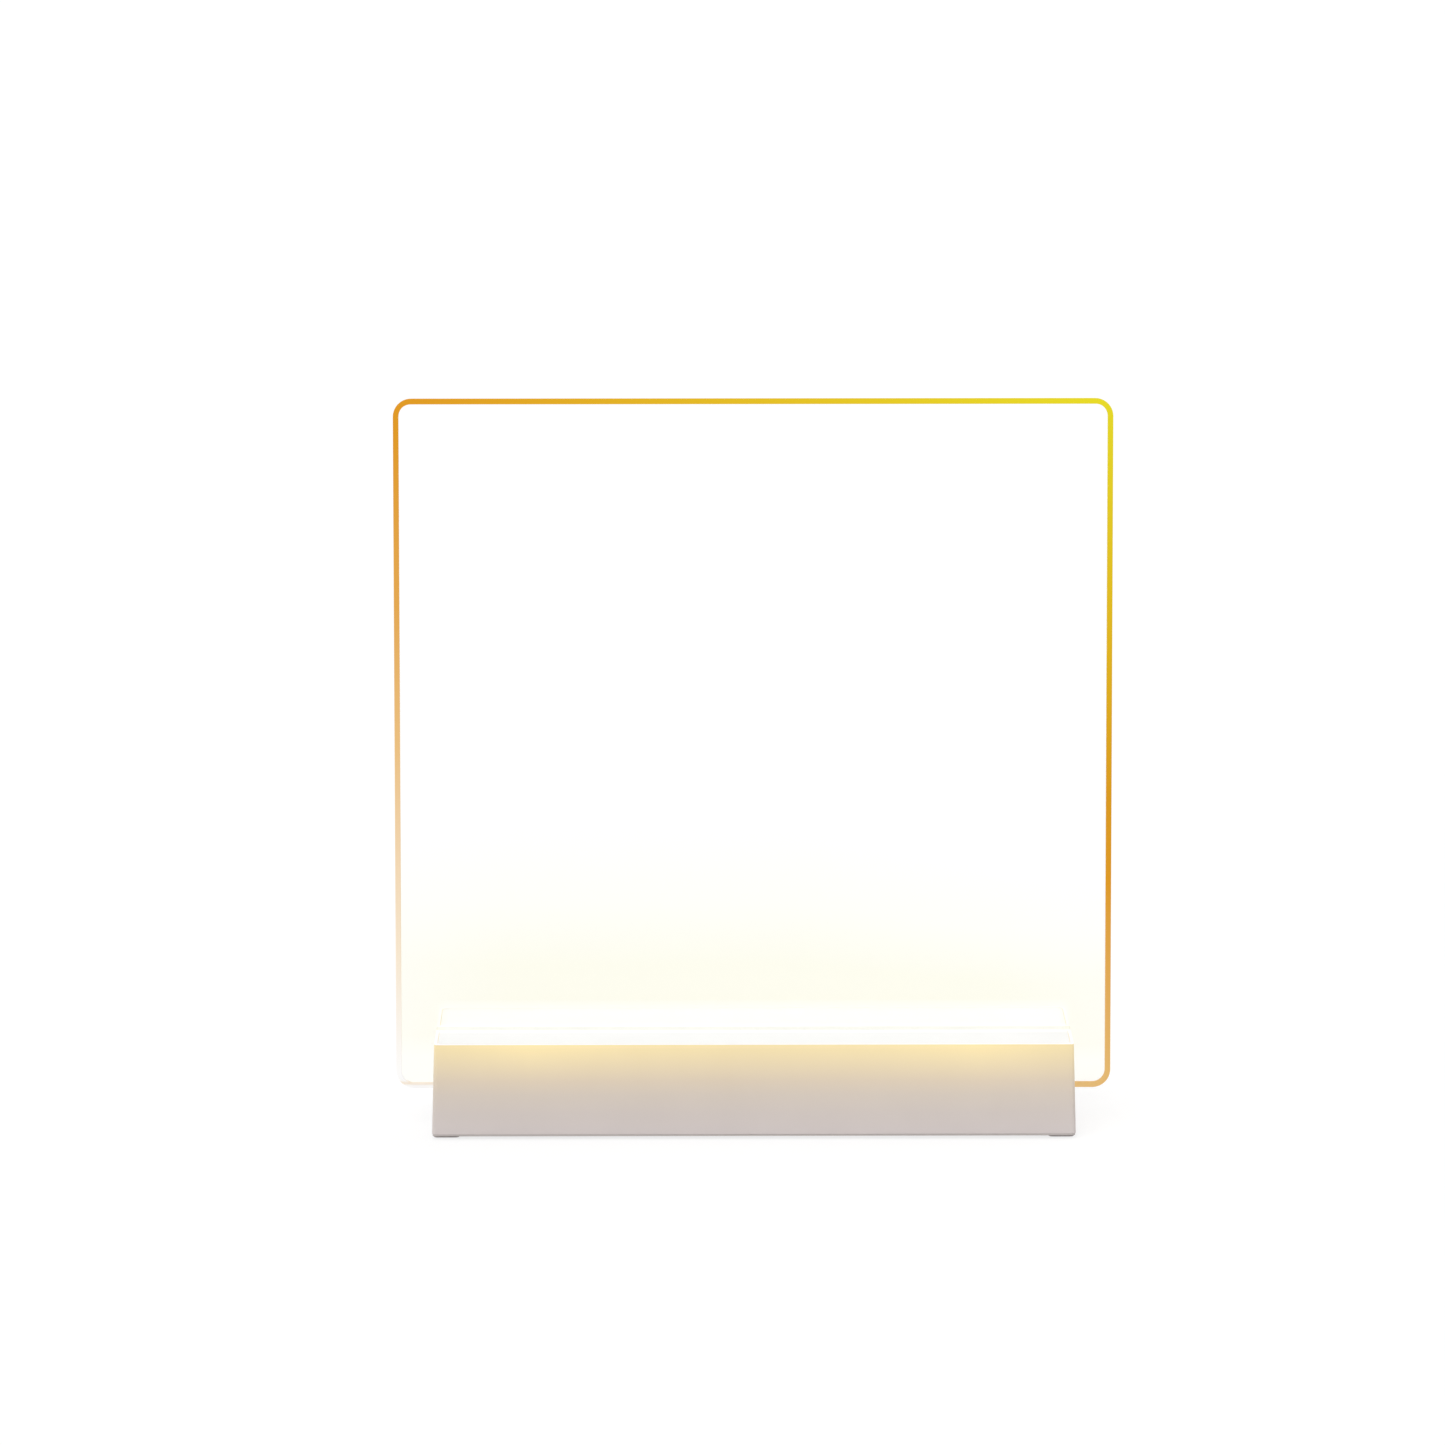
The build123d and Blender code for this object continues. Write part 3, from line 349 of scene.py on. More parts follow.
height = add(tree, "MapRange", {"Value": where.outputs["Z"], "From Max": PANEL_HEIGHT})
width = {"From Min": panel_low[0], "From Max": panel_high[0]}
across = add(tree, "MapRange", {"Value": where.outputs["X"], **width})
left = add(tree, "ValToRGB", {"Fac": height}, stops=LEFT_LINE)
right = add(tree, "ValToRGB", {"Fac": height}, stops=RIGHT_LINE)
line = add(tree, "Mix", {MIX_FACTOR: across, MIX_FIRST: left, MIX_SECOND: right}, data_type="RGBA")
print("stops of the lit line:", len(LEFT_LINE) + len(RIGHT_LINE))

# %% [markdown]
# A point belongs to the cut where its face doesn't look straight along the sheet's thickness. A saw and a
# scraper leave the cut satin, with a grain of about 0.7 mm. The cast faces are polished, apart from smudges
# as wide as a hand leaves.

# %% Satin cut and polished faces
FLAT_SHARE = 0.95
SAW_GRAIN, SAW_DETAIL, SAW_RAISE = 0.7, 2, 0.01
SATIN_ROUGH = (0.38, 0.56)
SMUDGE_SIZE, SMUDGE_DETAIL, SMUDGE_RAISE = 30, 4, 0.02
POLISH_ROUGH = (0.0, 0.03)

normal = add(tree, "NewGeometry").outputs["True Normal"]
straight = add(tree, "VectorMath", {0: normal, 1: (0, cos(lean), -sin(lean))}, operation="DOT_PRODUCT")
straight = add(tree, "Math", {0: straight.outputs["Value"]}, operation="ABSOLUTE")
slanted = add(tree, "Math", {0: straight, 1: FLAT_SHARE}, operation="LESS_THAN")
saw = add(tree, "TexNoise", {"Vector": sheet_place, "Scale": 1 / SAW_GRAIN, "Detail": SAW_DETAIL})
satin = add(tree, "MapRange", {"Value": saw, "To Min": SATIN_ROUGH[0], "To Max": SATIN_ROUGH[1]})
smudge = add(tree, "TexNoise", {"Vector": sheet_place, "Scale": 1 / SMUDGE_SIZE, "Detail": SMUDGE_DETAIL})
polish = add(tree, "MapRange", {"Value": smudge, "To Min": POLISH_ROUGH[0], "To Max": POLISH_ROUGH[1]})
gloss = add(tree, "Mix", {"Factor": slanted, "A": polish, "B": satin})
print("roughness of the cut and of the faces:", SATIN_ROUGH, POLISH_ROUGH)

# %% [markdown]
# The cut shines with the line's colour. Its base colour is a share of that colour too, painted light that
# keeps it coloured under the room's light. It gives back little of the white room, and what it gives back
# takes a painted sheen of the line's colour, so the line stays as deep in colour as light that comes from
# inside.

# %% Light in the cut
LINE_COLOUR_SHARE = 0.18
LINE_POWER = 0.8
# painted sheen: the cut's reflection is coloured like the line
LINE_SHEEN = "#FFC860"
LINE_SHEEN_LEVEL = 0.12

# painted light: the cut's base colour is a share of the line's colour
tones = {MIX_FACTOR: LINE_COLOUR_SHARE, MIX_FIRST: BLACK, MIX_SECOND: line}
line_light_tone = add(tree, "Mix", tones, data_type="RGBA")
saw_marks = add(tree, "Bump", {"Height": saw, "Distance": SAW_RAISE * MM})
cut = add(tree, "BsdfPrincipled", {
    "Base Color": line_light_tone, "Roughness": gloss, "Normal": saw_marks,
    "Emission Color": line, "Emission Strength": LINE_POWER,
    "Specular Tint": linear(LINE_SHEEN), "Specular IOR Level": LINE_SHEEN_LEVEL,
})
print("power of the lit line:", LINE_POWER)

# %% [markdown]
# Light from the strip also shines up inside the clear sheet, and its lower part takes on a pale warm glow.
# That glow is painted light, a warm colour given to the clear sheet by height. It fades out a little over
# 80 mm up the sheet, lower down toward the right, and it thins toward both sides.
# Where the lit lid shows through the sheet, the painted glow gives way to a near-white colour, also painted
# on the sheet by its place.

# %% Painted warm glow low in the sheet
# painted light: a warm colour on the clear sheet by height, for the strip's light inside it
WARM_GLOW_STOPS = ((0.1, "#FDFCF4"), (0.17, "#FBF9EB"), (0.4, "#FBFAEC"), (0.6, "#FDFDF7"), (0.95, "#FFFFFF"))
GLOW_TOP = 87.0
LOWER_BETWEEN = (15.0, 75.0)
LOWER_TIMES = 1.21
FADE_BETWEEN = (68.0, 97.0)
FADE_SHARE = 0.3
# painted light: a near-white colour on the sheet where the lit lid shows through it
LID_GLOW_TINT = "#FFFFFA"
LIT_HEIGHT = (21.5, 25.0)
LIT_WIDTH = (85.5, 89.0)

lower = add(tree, "MapRange", {
    "Value": where.outputs["X"], "From Min": LOWER_BETWEEN[0], "From Max": LOWER_BETWEEN[1],
    "To Min": 1, "To Max": LOWER_TIMES,
})
glow_height = add(tree, "Math", {0: where.outputs["Z"], 1: lower}, operation="MULTIPLY")
glow_height = add(tree, "MapRange", {"Value": glow_height, "From Max": GLOW_TOP})
painted_glow = add(tree, "ValToRGB", {"Fac": glow_height}, stops=WARM_GLOW_STOPS)
fade = add(tree, "MapRange", {
    "Value": aside, "From Min": FADE_BETWEEN[0], "From Max": FADE_BETWEEN[1],
    "To Min": 0, "To Max": FADE_SHARE,
})
painted_glow = add(tree, "Mix", {MIX_FACTOR: fade, MIX_FIRST: painted_glow, MIX_SECOND: WHITE}, data_type="RGBA")
low = add(tree, "MapRange", {
    "Value": where.outputs["Z"], "From Min": LIT_HEIGHT[0], "From Max": LIT_HEIGHT[1],
    "To Min": 1, "To Max": 0,
})
inside = add(tree, "MapRange", {
    "Value": aside, "From Min": LIT_WIDTH[0], "From Max": LIT_WIDTH[1], "To Min": 1, "To Max": 0,
})
lit = add(tree, "Math", {0: low, 1: inside}, operation="MULTIPLY")
tones = {MIX_FACTOR: lit, MIX_FIRST: painted_glow, MIX_SECOND: linear(LID_GLOW_TINT)}
painted_glow = add(tree, "Mix", tones, data_type="RGBA")
print("haze ramp ends up the sheet, mm:", GLOW_TOP)

# %% [markdown]
# The clear shader takes the painted glow as its colour. A clear sheet casts almost no shadow, but a path
# tracer's glass does, so shadow rays pass straight through the two faces. The clear shader comes first in
# the mix, and both share one roughness: the exported model takes the plain values of the first shader that
# it meets, and it should meet the sheet and not its edge.

# %% Clear acrylic sheet with its lit cut
ACRYLIC_IOR = 1.49

ripple = add(tree, "Bump", {"Height": smudge, "Distance": SMUDGE_RAISE * MM})
clear = add(tree, "BsdfPrincipled", {
    "Base Color": painted_glow, "Roughness": gloss, "Normal": ripple, "IOR": ACRYLIC_IOR, "Transmission Weight": 1,
})
sheet = add(tree, "MixShader", {0: slanted, 1: clear, 2: cut})
flat = add(tree, "Math", {0: 1.0, 1: slanted}, operation="SUBTRACT")
shadow_ray = add(tree, "LightPath").outputs["Is Shadow Ray"]
passing = add(tree, "Math", {0: flat, 1: shadow_ray}, operation="MULTIPLY")
see_through = add(tree, "BsdfTransparent")
shows(tree, add(tree, "MixShader", {0: passing, 1: sheet, 2: see_through}))
print("nodes in the acrylic:", len(tree.nodes))

# %% [markdown]
# The rest is ordinary: textured grey ABS below, rubber feet, and the parts inside. Each of these is two
# close tones, a blotch, a grit, a roughness and how far the grit stands up, all from the real material.
# A table keeps them side by side, so that one can be compared with its neighbour. The comment over each row
# says how the real surface was made and what that gives the eye.

# %% Moulded, stamped and painted parts
METAL = {"Metallic": 1.0}
SILICONE = {"Transmission Weight": 0.5, "IOR": 1.41}
LIGHT_PIPE = {"Transmission Weight": 0.85, "IOR": ACRYLIC_IOR}

# A row holds: dark tone, light tone, blotch and grit in mm, roughness, the grit's rise in mm, other sockets.
PLAIN = {
    # moulded in a coarse spark-eroded tool: matt, one shade darker than the shell
    "grey_abs": ("#B9B2AF", "#C2BBB8", 30, 0.8, 0.55, 0.03, {}),
    # pressed thermoplastic rubber: dull and soft, with no highlight
    "foot_rubber": ("#8E8281", "#9C9190", 6, 0.6, 0.75, 0.04, {}),
    # moulded in a finer tool than the shell: a little glossier, so the cap stands out
    "button_plastic": ("#DAD5D0", "#E2DDD8", 3, 0.5, 0.35, 0.008, {}),
    # moulded acetal: creamy and waxy
    "plunger_plastic": ("#E8E2D2", "#F0EADC", 2, 0.4, 0.4, 0.004, {}),
    # moulded glass-filled nylon: near black, satin
    "black_moulding": ("#15161A", "#1E1F23", 2, 0.3, 0.5, 0.006, {}),
    # transfer-moulded epoxy: black with a grey, sandy bloom
    "chip_epoxy": ("#1A1B1D", "#26272A", 1.5, 0.25, 0.6, 0.008, {}),
    # open-cell foam: swallows light, with pores that show
    "black_foam": ("#141416", "#26262A", 2.5, 0.6, 0.95, 0.15, {}),
    # moulded nylon: off-white, faintly shiny
    "nylon_connector": ("#E9E4D6", "#F2EEE3", 4, 0.6, 0.42, 0.01, {}),
    # extruded vinyl: smooth, with a long soft highlight along the wire
    "red_insulation": ("#A8161B", "#BC2226", 5, 0.5, 0.38, 0.006, {}),
    "black_insulation": ("#17171A", "#222226", 5, 0.5, 0.38, 0.006, {}),
    # moulded heat-proof nylon: white and even, so the cup throws its light out
    "led_plastic": ("#E4E1D8", "#EFEDE6", 2, 0.3, 0.4, 0.004, {}),
    # fired ceramic: tan, dry, slightly grainy
    "capacitor_ceramic": ("#A88C68", "#BBA07C", 1, 0.3, 0.45, 0.005, {}),
    # pressed and sintered ferrite: dark grey, stony
    "ferrite": ("#2C2E31", "#3C3E42", 1.5, 0.3, 0.6, 0.02, {}),
    # zinc-plated steel: bright blue-grey, cloudy
    "zinc_screw": ("#A9ABB0", "#C3C6CB", 2, 0.35, 0.32, 0.006, METAL),
    # rolled nickel strip: warm grey, with a soft mirror
    "nickel_strip": ("#B5B2A8", "#CBC8BE", 3, 0.5, 0.28, 0.005, METAL),
    # stamped stainless steel: neutral grey, drawn smooth
    "stamped_steel": ("#A4A7AA", "#BFC2C5", 4, 0.4, 0.3, 0.004, METAL),
    # tin over copper, or solder that has set: pale silver
    "tinned_lead": ("#B8BABE", "#D0D2D6", 1, 0.2, 0.3, 0.004, METAL),
    # gold plated thinly on nickel: pale yellow, bright
    "gold_flash": ("#D9B45A", "#E3C271", 1, 0.2, 0.28, 0.002, METAL),
    # screen-printed epoxy ink: chalky white
    "screen_ink": ("#E4E4DE", "#EEEEE9", 2, 0.3, 0.6, 0.004, {}),
    # cast silicone: cloudy and half clear
    "clear_silicone": ("#DDE2E4", "#E8ECED", 4, 0.6, 0.5, 0.01, SILICONE),
    # moulded clear acrylic: carries the charge light to the back wall
    "clear_light_pipe": ("#EEF2F2", "#F6F8F8", 3, 0.8, 0.12, 0.002, LIGHT_PIPE),
}
for name, row in PLAIN.items():
    surfaced(name, *row)
print("plain finishes:", len(PLAIN))

# %% [markdown]
# Four small parts change colour across their surface: the light strip, the control board, the chip resistors
# and the cell. A distance or a direction becomes a mask of noughts and ones. One function lays another
# colour by it, and two more build on that. The first lifts the paint where copper lies under it. The second
# bares the metal: it also changes the roughness and turns the body's own shader metallic, so that one
# shader carries the whole surface.

# %% Paint over copper, and bare metal
COPPER_THICK = 0.035
TIN_ROUGH = 0.3


def recoloured(tree, body, mask, colour):
    """Where the mask is 1, gives the body another colour."""
    tone = body.inputs["Base Color"].links[0].from_socket
    tones = {MIX_FACTOR: mask, MIX_FIRST: tone, MIX_SECOND: linear(colour)}
    over = add(tree, "Mix", tones, data_type="RGBA")
    tree.links.new(over.outputs[MIX_RESULT], body.inputs["Base Color"])


def raised(tree, body, mask, colour):
    """Where the mask is 1, recolours the body and lifts its surface, as paint over copper does."""
    recoloured(tree, body, mask, colour)
    relief = body.inputs["Normal"].links[0].from_socket
    step = add(tree, "Bump", {"Height": mask, "Distance": COPPER_THICK * MM, "Normal": relief})
    tree.links.new(step.outputs[0], body.inputs["Normal"])


def bared(tree, body, mask, colour, rough=TIN_ROUGH):
    """Where the mask is 1, turns the body's own shader into bare metal of this colour and roughness."""
    recoloured(tree, body, mask, colour)
    gloss = body.inputs["Roughness"].links[0].from_socket
    shine = add(tree, "Mix", {"Factor": mask, "A": gloss, "B": rough})
    tree.links.new(shine.outputs[0], body.inputs["Roughness"])
    tree.links.new(mask.outputs[0], body.inputs["Metallic"])


print("copper's thickness, mm:", COPPER_THICK)

# %% [markdown]
# The light strip is a long board under white solder mask, glossy enough to throw stray light back up. Two
# buried supply rails run along its sides and show as a faint step. Beside each diode lie two tinned pads.
# The diodes repeat at one pitch, so a wrapped x gives every pad the same small sum.

# %% Light strip
LED_PITCH = 9.0
PAD_MIDDLE, PAD_HALF_LENGTH, PAD_HALF_WIDTH = 2.15, 0.4, 1.1
RAIL_MIDDLE, RAIL_HALF_WIDTH = 2.9, 0.4

tree, place, body = surfaced(
    "white_board", dark="#E9E8E1", light="#F3F2EC", blotch=5, grit=0.5, rough=0.3, raise_mm=0.004
)
where = add(tree, "SeparateXYZ", {0: leaning(tree, place)})
step = add(tree, "Math", {0: where.outputs["X"], 1: 0.0, 2: LED_PITCH}, operation="WRAP")
step = add(tree, "Math", {0: step, 1: LED_PITCH / 2}, operation="SUBTRACT")
step = add(tree, "Math", {0: step}, operation="ABSOLUTE")
beside = add(tree, "Math", {0: step, 1: PAD_MIDDLE, 2: PAD_HALF_LENGTH}, operation="COMPARE")
within = add(tree, "Math", {0: where.outputs["Y"], 1: 0.0, 2: PAD_HALF_WIDTH}, operation="COMPARE")
pads = add(tree, "Math", {0: beside, 1: within}, operation="MULTIPLY")
side = add(tree, "Math", {0: where.outputs["Y"]}, operation="ABSOLUTE")
rails = add(tree, "Math", {0: side, 1: RAIL_MIDDLE, 2: RAIL_HALF_WIDTH}, operation="COMPARE")
raised(tree, body, rails, colour="#DCDCD3")
bared(tree, body, pads, colour="#C9CBCF")
print("pads from a diode's middle, mm:", PAD_MIDDLE)

# %% [markdown]
# The control board is green solder mask over copper. Its tracks run in bundles, so the board is cut into
# square blocks: each snaps to its corner and draws one random number there. By that number a block holds
# tracks along x, tracks along y, or poured copper.

# %% Control board: tracks under green mask
TRACK_PITCH, TRACK_WIDTH = 0.8, 0.36
TRACKS_PER_BLOCK = 4
POUR_FROM_SHARE = 0.72

tree, place, body = surfaced(
    "green_board", dark="#0F4A2C", light="#17603A", blotch=4, grit=0.4, rough=0.32, raise_mm=0.004
)
flat_place = add(tree, "VectorMath", {0: place, 1: (1, 1, 0)}, operation="MULTIPLY")
where = add(tree, "SeparateXYZ", {0: flat_place})
block = (TRACK_PITCH * TRACKS_PER_BLOCK,) * 3
corner = add(tree, "VectorMath", {0: flat_place, 1: block}, operation="SNAP")
pick = add(tree, "TexWhiteNoise", {"Vector": corner}, noise_dimensions="3D")
stripes = []
for axis in "XY":
    lane = add(tree, "Math", {0: where.outputs[axis], 1: 0.0, 2: TRACK_PITCH}, operation="WRAP")
    stripes.append(add(tree, "Math", {0: lane, 1: TRACK_WIDTH}, operation="LESS_THAN"))
turned = add(tree, "Math", {0: pick.outputs["Value"], 1: POUR_FROM_SHARE / 2}, operation="GREATER_THAN")
tracks = add(tree, "Mix", {"Factor": turned, "A": stripes[0], "B": stripes[1]})
poured = add(tree, "Math", {0: pick.outputs["Value"], 1: POUR_FROM_SHARE}, operation="GREATER_THAN")
copper = add(tree, "Math", {0: tracks, 1: poured}, operation="MAXIMUM")
raised(tree, body, copper, colour="#1F7547")
print("a block's side, mm:", block[0])

# %% [markdown]
# Two more things show on the board. Its sawn edge is bare laminate, the yellow-grey of glass cloth in resin,
# where the face doesn't look up or down. And tinned holes lead tracks through it, one at the heart of each
# Voronoi cell.

# %% Control board: sawn edge and tinned holes
EDGE_ON_SHARE = 0.5
VIA_PITCH, VIA_SHARE = 4.2, 0.1
VIA_ROUGH = 0.35

facing = add(tree, "SeparateXYZ", {0: add(tree, "NewGeometry").outputs["True Normal"]})
level = add(tree, "Math", {0: facing.outputs["Z"]}, operation="ABSOLUTE")
sawn = add(tree, "Math", {0: level, 1: EDGE_ON_SHARE}, operation="LESS_THAN")
recoloured(tree, body, sawn, colour="#B5AC74")
holes = add(tree, "TexVoronoi", {"Vector": flat_place, "Scale": 1 / VIA_PITCH})
vias = add(tree, "Math", {0: holes, 1: VIA_SHARE}, operation="LESS_THAN")
vias = add(tree, "Math", {0: vias, 1: level}, operation="MULTIPLY")
bared(tree, body, vias, colour="#C8B98A", rough=VIA_ROUGH)
print("holes about every, mm:", VIA_PITCH)

# %% [markdown]
# A chip resistor is a black glaze between two tinned ends. They lie across the strip, so the ends are what
# lies further than half a millimetre from the strip's middle line.

# %% Chip resistors
TERMINAL_FROM = 0.5

tree, place, body = surfaced(
    "chip_resistor", dark="#1B1C1F", light="#26272B", blotch=1, grit=0.2, rough=0.45, raise_mm=0.003
)
where = add(tree, "SeparateXYZ", {0: leaning(tree, place)})
ends = add(tree, "Math", {0: where.outputs["Y"]}, operation="ABSOLUTE")
ends = add(tree, "Math", {0: ends, 1: TERMINAL_FROM}, operation="GREATER_THAN")
bared(tree, body, ends, colour="#C6C8CC")
print("tinned from the middle, mm:", TERMINAL_FROM)

# %% [markdown]
# The cell wears a blue heat-shrunk sleeve, smooth with slow waves. It is shrunk over the rims and leaves the
# steel bare in the middle of each end, so the mask is the distance from the cell's own axis.

# %% Sleeve of the cell
SLEEVE_OPEN_RADIUS = 5.4

tree, place, body = surfaced(
    "cell_sleeve", dark="#2A6E9E", light="#327BAE", blotch=18, grit=1.2, rough=0.3, raise_mm=0.012
)
cell_middle = middle_mm("battery_cell")
cell_place = add(tree, "Mapping", {"Vector": place, "Location": cell_middle}, vector_type="TEXTURE")
round_place = add(tree, "VectorMath", {0: cell_place, 1: (0, 1, 1)}, operation="MULTIPLY")
radius = add(tree, "VectorMath", {0: round_place}, operation="LENGTH").outputs["Value"]
bare = add(tree, "Math", {0: radius, 1: SLEEVE_OPEN_RADIUS}, operation="LESS_THAN")
bared(tree, body, bare, colour="#C2C3C4")
print("cell's middle, mm:", cell_middle.round(1).tolist())

# %% [markdown]
# A white diode is a blue one under a drop of silicone full of yellow phosphor. The drop looks matt yellow
# when off, with fine grains in it, and shines warm when on. Two warm tones and a steady glow give both.

# %% Phosphor in the diodes' cups
PHOSPHOR_GLOW = "#FFD98C"
PHOSPHOR_POWER = 1.6

surfaced(
    "led_phosphor", dark="#E8B93E", light="#F2C94F", blotch=0.5, grit=0.15, rough=0.6, raise_mm=0.004,
    sockets={"Emission Color": linear(PHOSPHOR_GLOW), "Emission Strength": PHOSPHOR_POWER},
)
print("finishes made:", len(finishes))

# %% [markdown]
# Each solid came in with a plain material named after its slot in the record, so a finish of the same name
# goes on.

# %% Put the finishes on the solids
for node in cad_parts.values():
    for part_slot in node.material_slots:
        part_slot.material = finishes[part_slot.material.name.split(".")[0]]
print("dressed:", len(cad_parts))

# %% [markdown]
# The solids stop short of the smallest things on the boards. Each of these becomes a surface: points on a
# grid, worked out as whole arrays, with a face for each cell of the grid. Many like pieces share one mesh,
# one patch each. A grid may wrap round in its columns, as a bar's section does, or in its rows, as a frame's
# profile does. The first and last row may be closed by one face each.

# %% Surfaces from grids of points


def surface(name, patches, finish, wrap=False, ring=False, ends=False):
    """A mesh from patches[patch, row, column] in millimetres: each cell of each grid is one face.

    wrap joins the last column to the first, ring the last row to the first, and ends closes both end rows."""
    count, rows, columns = patches.shape[:3]
    row_count, column_count = rows if ring else rows - 1, columns if wrap else columns - 1
    row, column = np.meshgrid(np.arange(row_count), np.arange(column_count), indexing="ij")
    here, ahead = row * columns, (row + 1) % rows * columns
    beside = (column + 1) % columns
    cell = np.stack([here + column, here + beside, ahead + beside, ahead + column], -1)
    starts = np.arange(count)[:, None, None] * rows * columns
    faces = (cell.reshape(1, -1, 4) + starts).reshape(-1, 4).tolist()
    if ends:
        rim = np.arange(columns)
        faces += (rim[::-1] + starts[:, 0]).tolist()
        faces += (rim + (rows - 1) * columns + starts[:, 0]).tolist()
    mesh = bpy.data.meshes.new(name)
    mesh.from_pydata((patches.reshape(-1, 3) * MM).tolist(), [], faces)
    mesh.materials.append(finishes[finish])
    made = bpy.data.objects.new(name, mesh)
    bpy.context.scene.collection.objects.link(made)
    print(name, "faces:", len(mesh.polygons))
    return made

# %% [markdown]
# The charging inlet's tongue carries twelve contacts on each side. On the real one they are stamped,
# gold-plated and moulded in, almost flush. Each is a rounded bar: its section is a superellipse, half of it
# sunk in the tongue, and its two ends taper a little, so that a plug slides over them.

# %% Gold contacts on the inlet's tongue
TONGUE_THICK = 0.7
CONTACT_COUNT = 12
CONTACT_PITCH = 0.5
CONTACT_HALF_WIDTH = 0.13
CONTACT_RAISE = 0.03
CONTACT_RUN = np.array([0.25, 0.4, 3.7, 3.8])
CONTACT_FULL_SHARES = np.array([0.5, 1.0, 1.0, 0.5])
SECTION_POINTS = 12
SECTION_POWER = 0.4


def contact_bars(tip, count):
    """Bars along y from the tip: x and z follow cos and sin to a small power, which squares the circle."""
    angle = np.linspace(0, 2 * np.pi, SECTION_POINTS, endpoint=False)
    side = np.sign(np.cos(angle)) * np.abs(np.cos(angle)) ** SECTION_POWER * CONTACT_HALF_WIDTH
    rise = np.sign(np.sin(angle)) * np.abs(np.sin(angle)) ** SECTION_POWER * CONTACT_RAISE
    across = (np.arange(count) - (count - 1) / 2) * CONTACT_PITCH
    faces = np.array([-1, 1]) * TONGUE_THICK / 2
    at_x, at_z = (spread.reshape(-1, 1, 1) for spread in np.meshgrid(across, faces))
    x = tip[0] + at_x + CONTACT_FULL_SHARES[None, :, None] * side
    z = tip[2] + at_z + CONTACT_FULL_SHARES[None, :, None] * rise
    y = np.broadcast_to(tip[1] - CONTACT_RUN[None, :, None], x.shape)
    return np.stack([x, y, z], -1)


tip = middle_mm("usb_c_tongue")
tip[1] = high_mm("usb_c_tongue")[1]
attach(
    surface("inlet_contacts", contact_bars(tip, CONTACT_COUNT), "gold_flash", wrap=True, ends=True), "base"
)

# %% [markdown]
# Where a lead or a wire meets a board there is solder. Molten, it climbs the lead and thins out over the
# pad, so a joint is a bell: steep in the middle and flat at its foot. The bell turns a smooth step, from
# full height to none, round its own axis.

# %% Bells of solder
JOINT_ROWS, JOINT_COLUMNS = 7, 12
JOINT_TOP_SHARE = 0.08


def solder_bells(feet, back, up, joint):
    """Bells on their feet, along up. At a share s of the radius, the height's share is 1 - 3 s^2 + 2 s^3."""
    radius, height = joint
    share = np.linspace(1, JOINT_TOP_SHARE, JOINT_ROWS)[:, None]
    angle = np.linspace(0, 2 * np.pi, JOINT_COLUMNS, endpoint=False)
    local = np.stack([
        radius * share * np.cos(angle),
        radius * share * np.sin(angle),
        np.broadcast_to(height * (1 - 3 * share ** 2 + 2 * share ** 3), (JOINT_ROWS, JOINT_COLUMNS)),
    ], -1)
    axes = np.array([np.cross(back, up), back, up])
    return np.asarray(feet)[:, None, None, :] + local @ axes


print("points on a bell:", JOINT_ROWS * JOINT_COLUMNS)

# %% [markdown]
# The joints stand at the toes of the chips' leads, where the strip's two wires land at both of their ends,
# and on the cell's two tabs. Their places come from the boxes of the solids. The strip leans, so the places
# on it are measured back and up along its own lean.

# %% Feet of the joints
LEAD_PITCH, LEAD_HALF_WIDTH, LEADS_PER_SIDE = 1.1, 0.2, 4
STRIP_HALF_WIDTH = 4.0
STRIP_WIRE_BACK = 2.1
TAB_WIRE_RISE = 2.5

board_top = high_mm("control_board")[2]
leads_low, leads_high = low_mm("chip_leads"), high_mm("chip_leads")
steps = np.arange(LEADS_PER_SIDE) * LEAD_PITCH + LEAD_HALF_WIDTH
toes = np.concatenate([leads_low[0] + steps, leads_high[0] - steps])
lead_x, lead_y = np.meshgrid(toes, [leads_low[1], leads_high[1]])
lead_feet = np.stack([lead_x.ravel(), lead_y.ravel(), np.full(lead_x.size, board_top)], -1)

strip_up = (high_mm("led_board")[2] - foot_z - STRIP_HALF_WIDTH * sin(lean)) / cos(lean)
strip_y = foot_y + STRIP_WIRE_BACK * cos(lean) + strip_up * sin(lean)
strip_z = foot_z + strip_up * cos(lean) - STRIP_WIRE_BACK * sin(lean)
board_feet, strip_feet = [], []
for wire in ("led_wire_red", "led_wire_black"):
    wire_x = middle_mm(wire)[0]
    board_feet.append((wire_x, high_mm(wire)[1], board_top))
    strip_feet.append((wire_x, strip_y, strip_z))

right_tab_foot = (high_mm("battery_tabs")[0], cell_middle[1], cell_middle[2] + TAB_WIRE_RISE)
left_tab_foot = (low_mm("battery_tabs")[0], cell_middle[1], cell_middle[2])
print("feet on the control board:", len(lead_feet) + len(board_feet))

# %% [markdown]
# The chips' joints are small and the wires' are large, given as a radius and a height. Each kind is one
# piece, and it takes the leads' own finish.

# %% Solder joints
LEAD_JOINT = (0.42, 0.3)
WIRE_JOINT = (1.0, 0.8)
TAB_JOINT = (1.1, 0.9)
BACK, UP, RIGHT, LEFT = (0, 1, 0), (0, 0, 1), (1, 0, 0), (-1, 0, 0)

bells = {
    "lead_joints": [solder_bells(lead_feet, BACK, UP, LEAD_JOINT)],
    "wire_joints": [
        solder_bells(board_feet, BACK, UP, WIRE_JOINT),
        solder_bells(strip_feet, (0, cos(lean), -sin(lean)), (0, sin(lean), cos(lean)), WIRE_JOINT),
    ],
    "tab_joints": [
        solder_bells([right_tab_foot], BACK, RIGHT, TAB_JOINT),
        solder_bells([left_tab_foot], BACK, LEFT, TAB_JOINT),
    ],
}
for name, patches in bells.items():
    joints = surface(name, np.concatenate(patches), "tinned_lead", wrap=True, ends=True)
    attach(joints, "base")

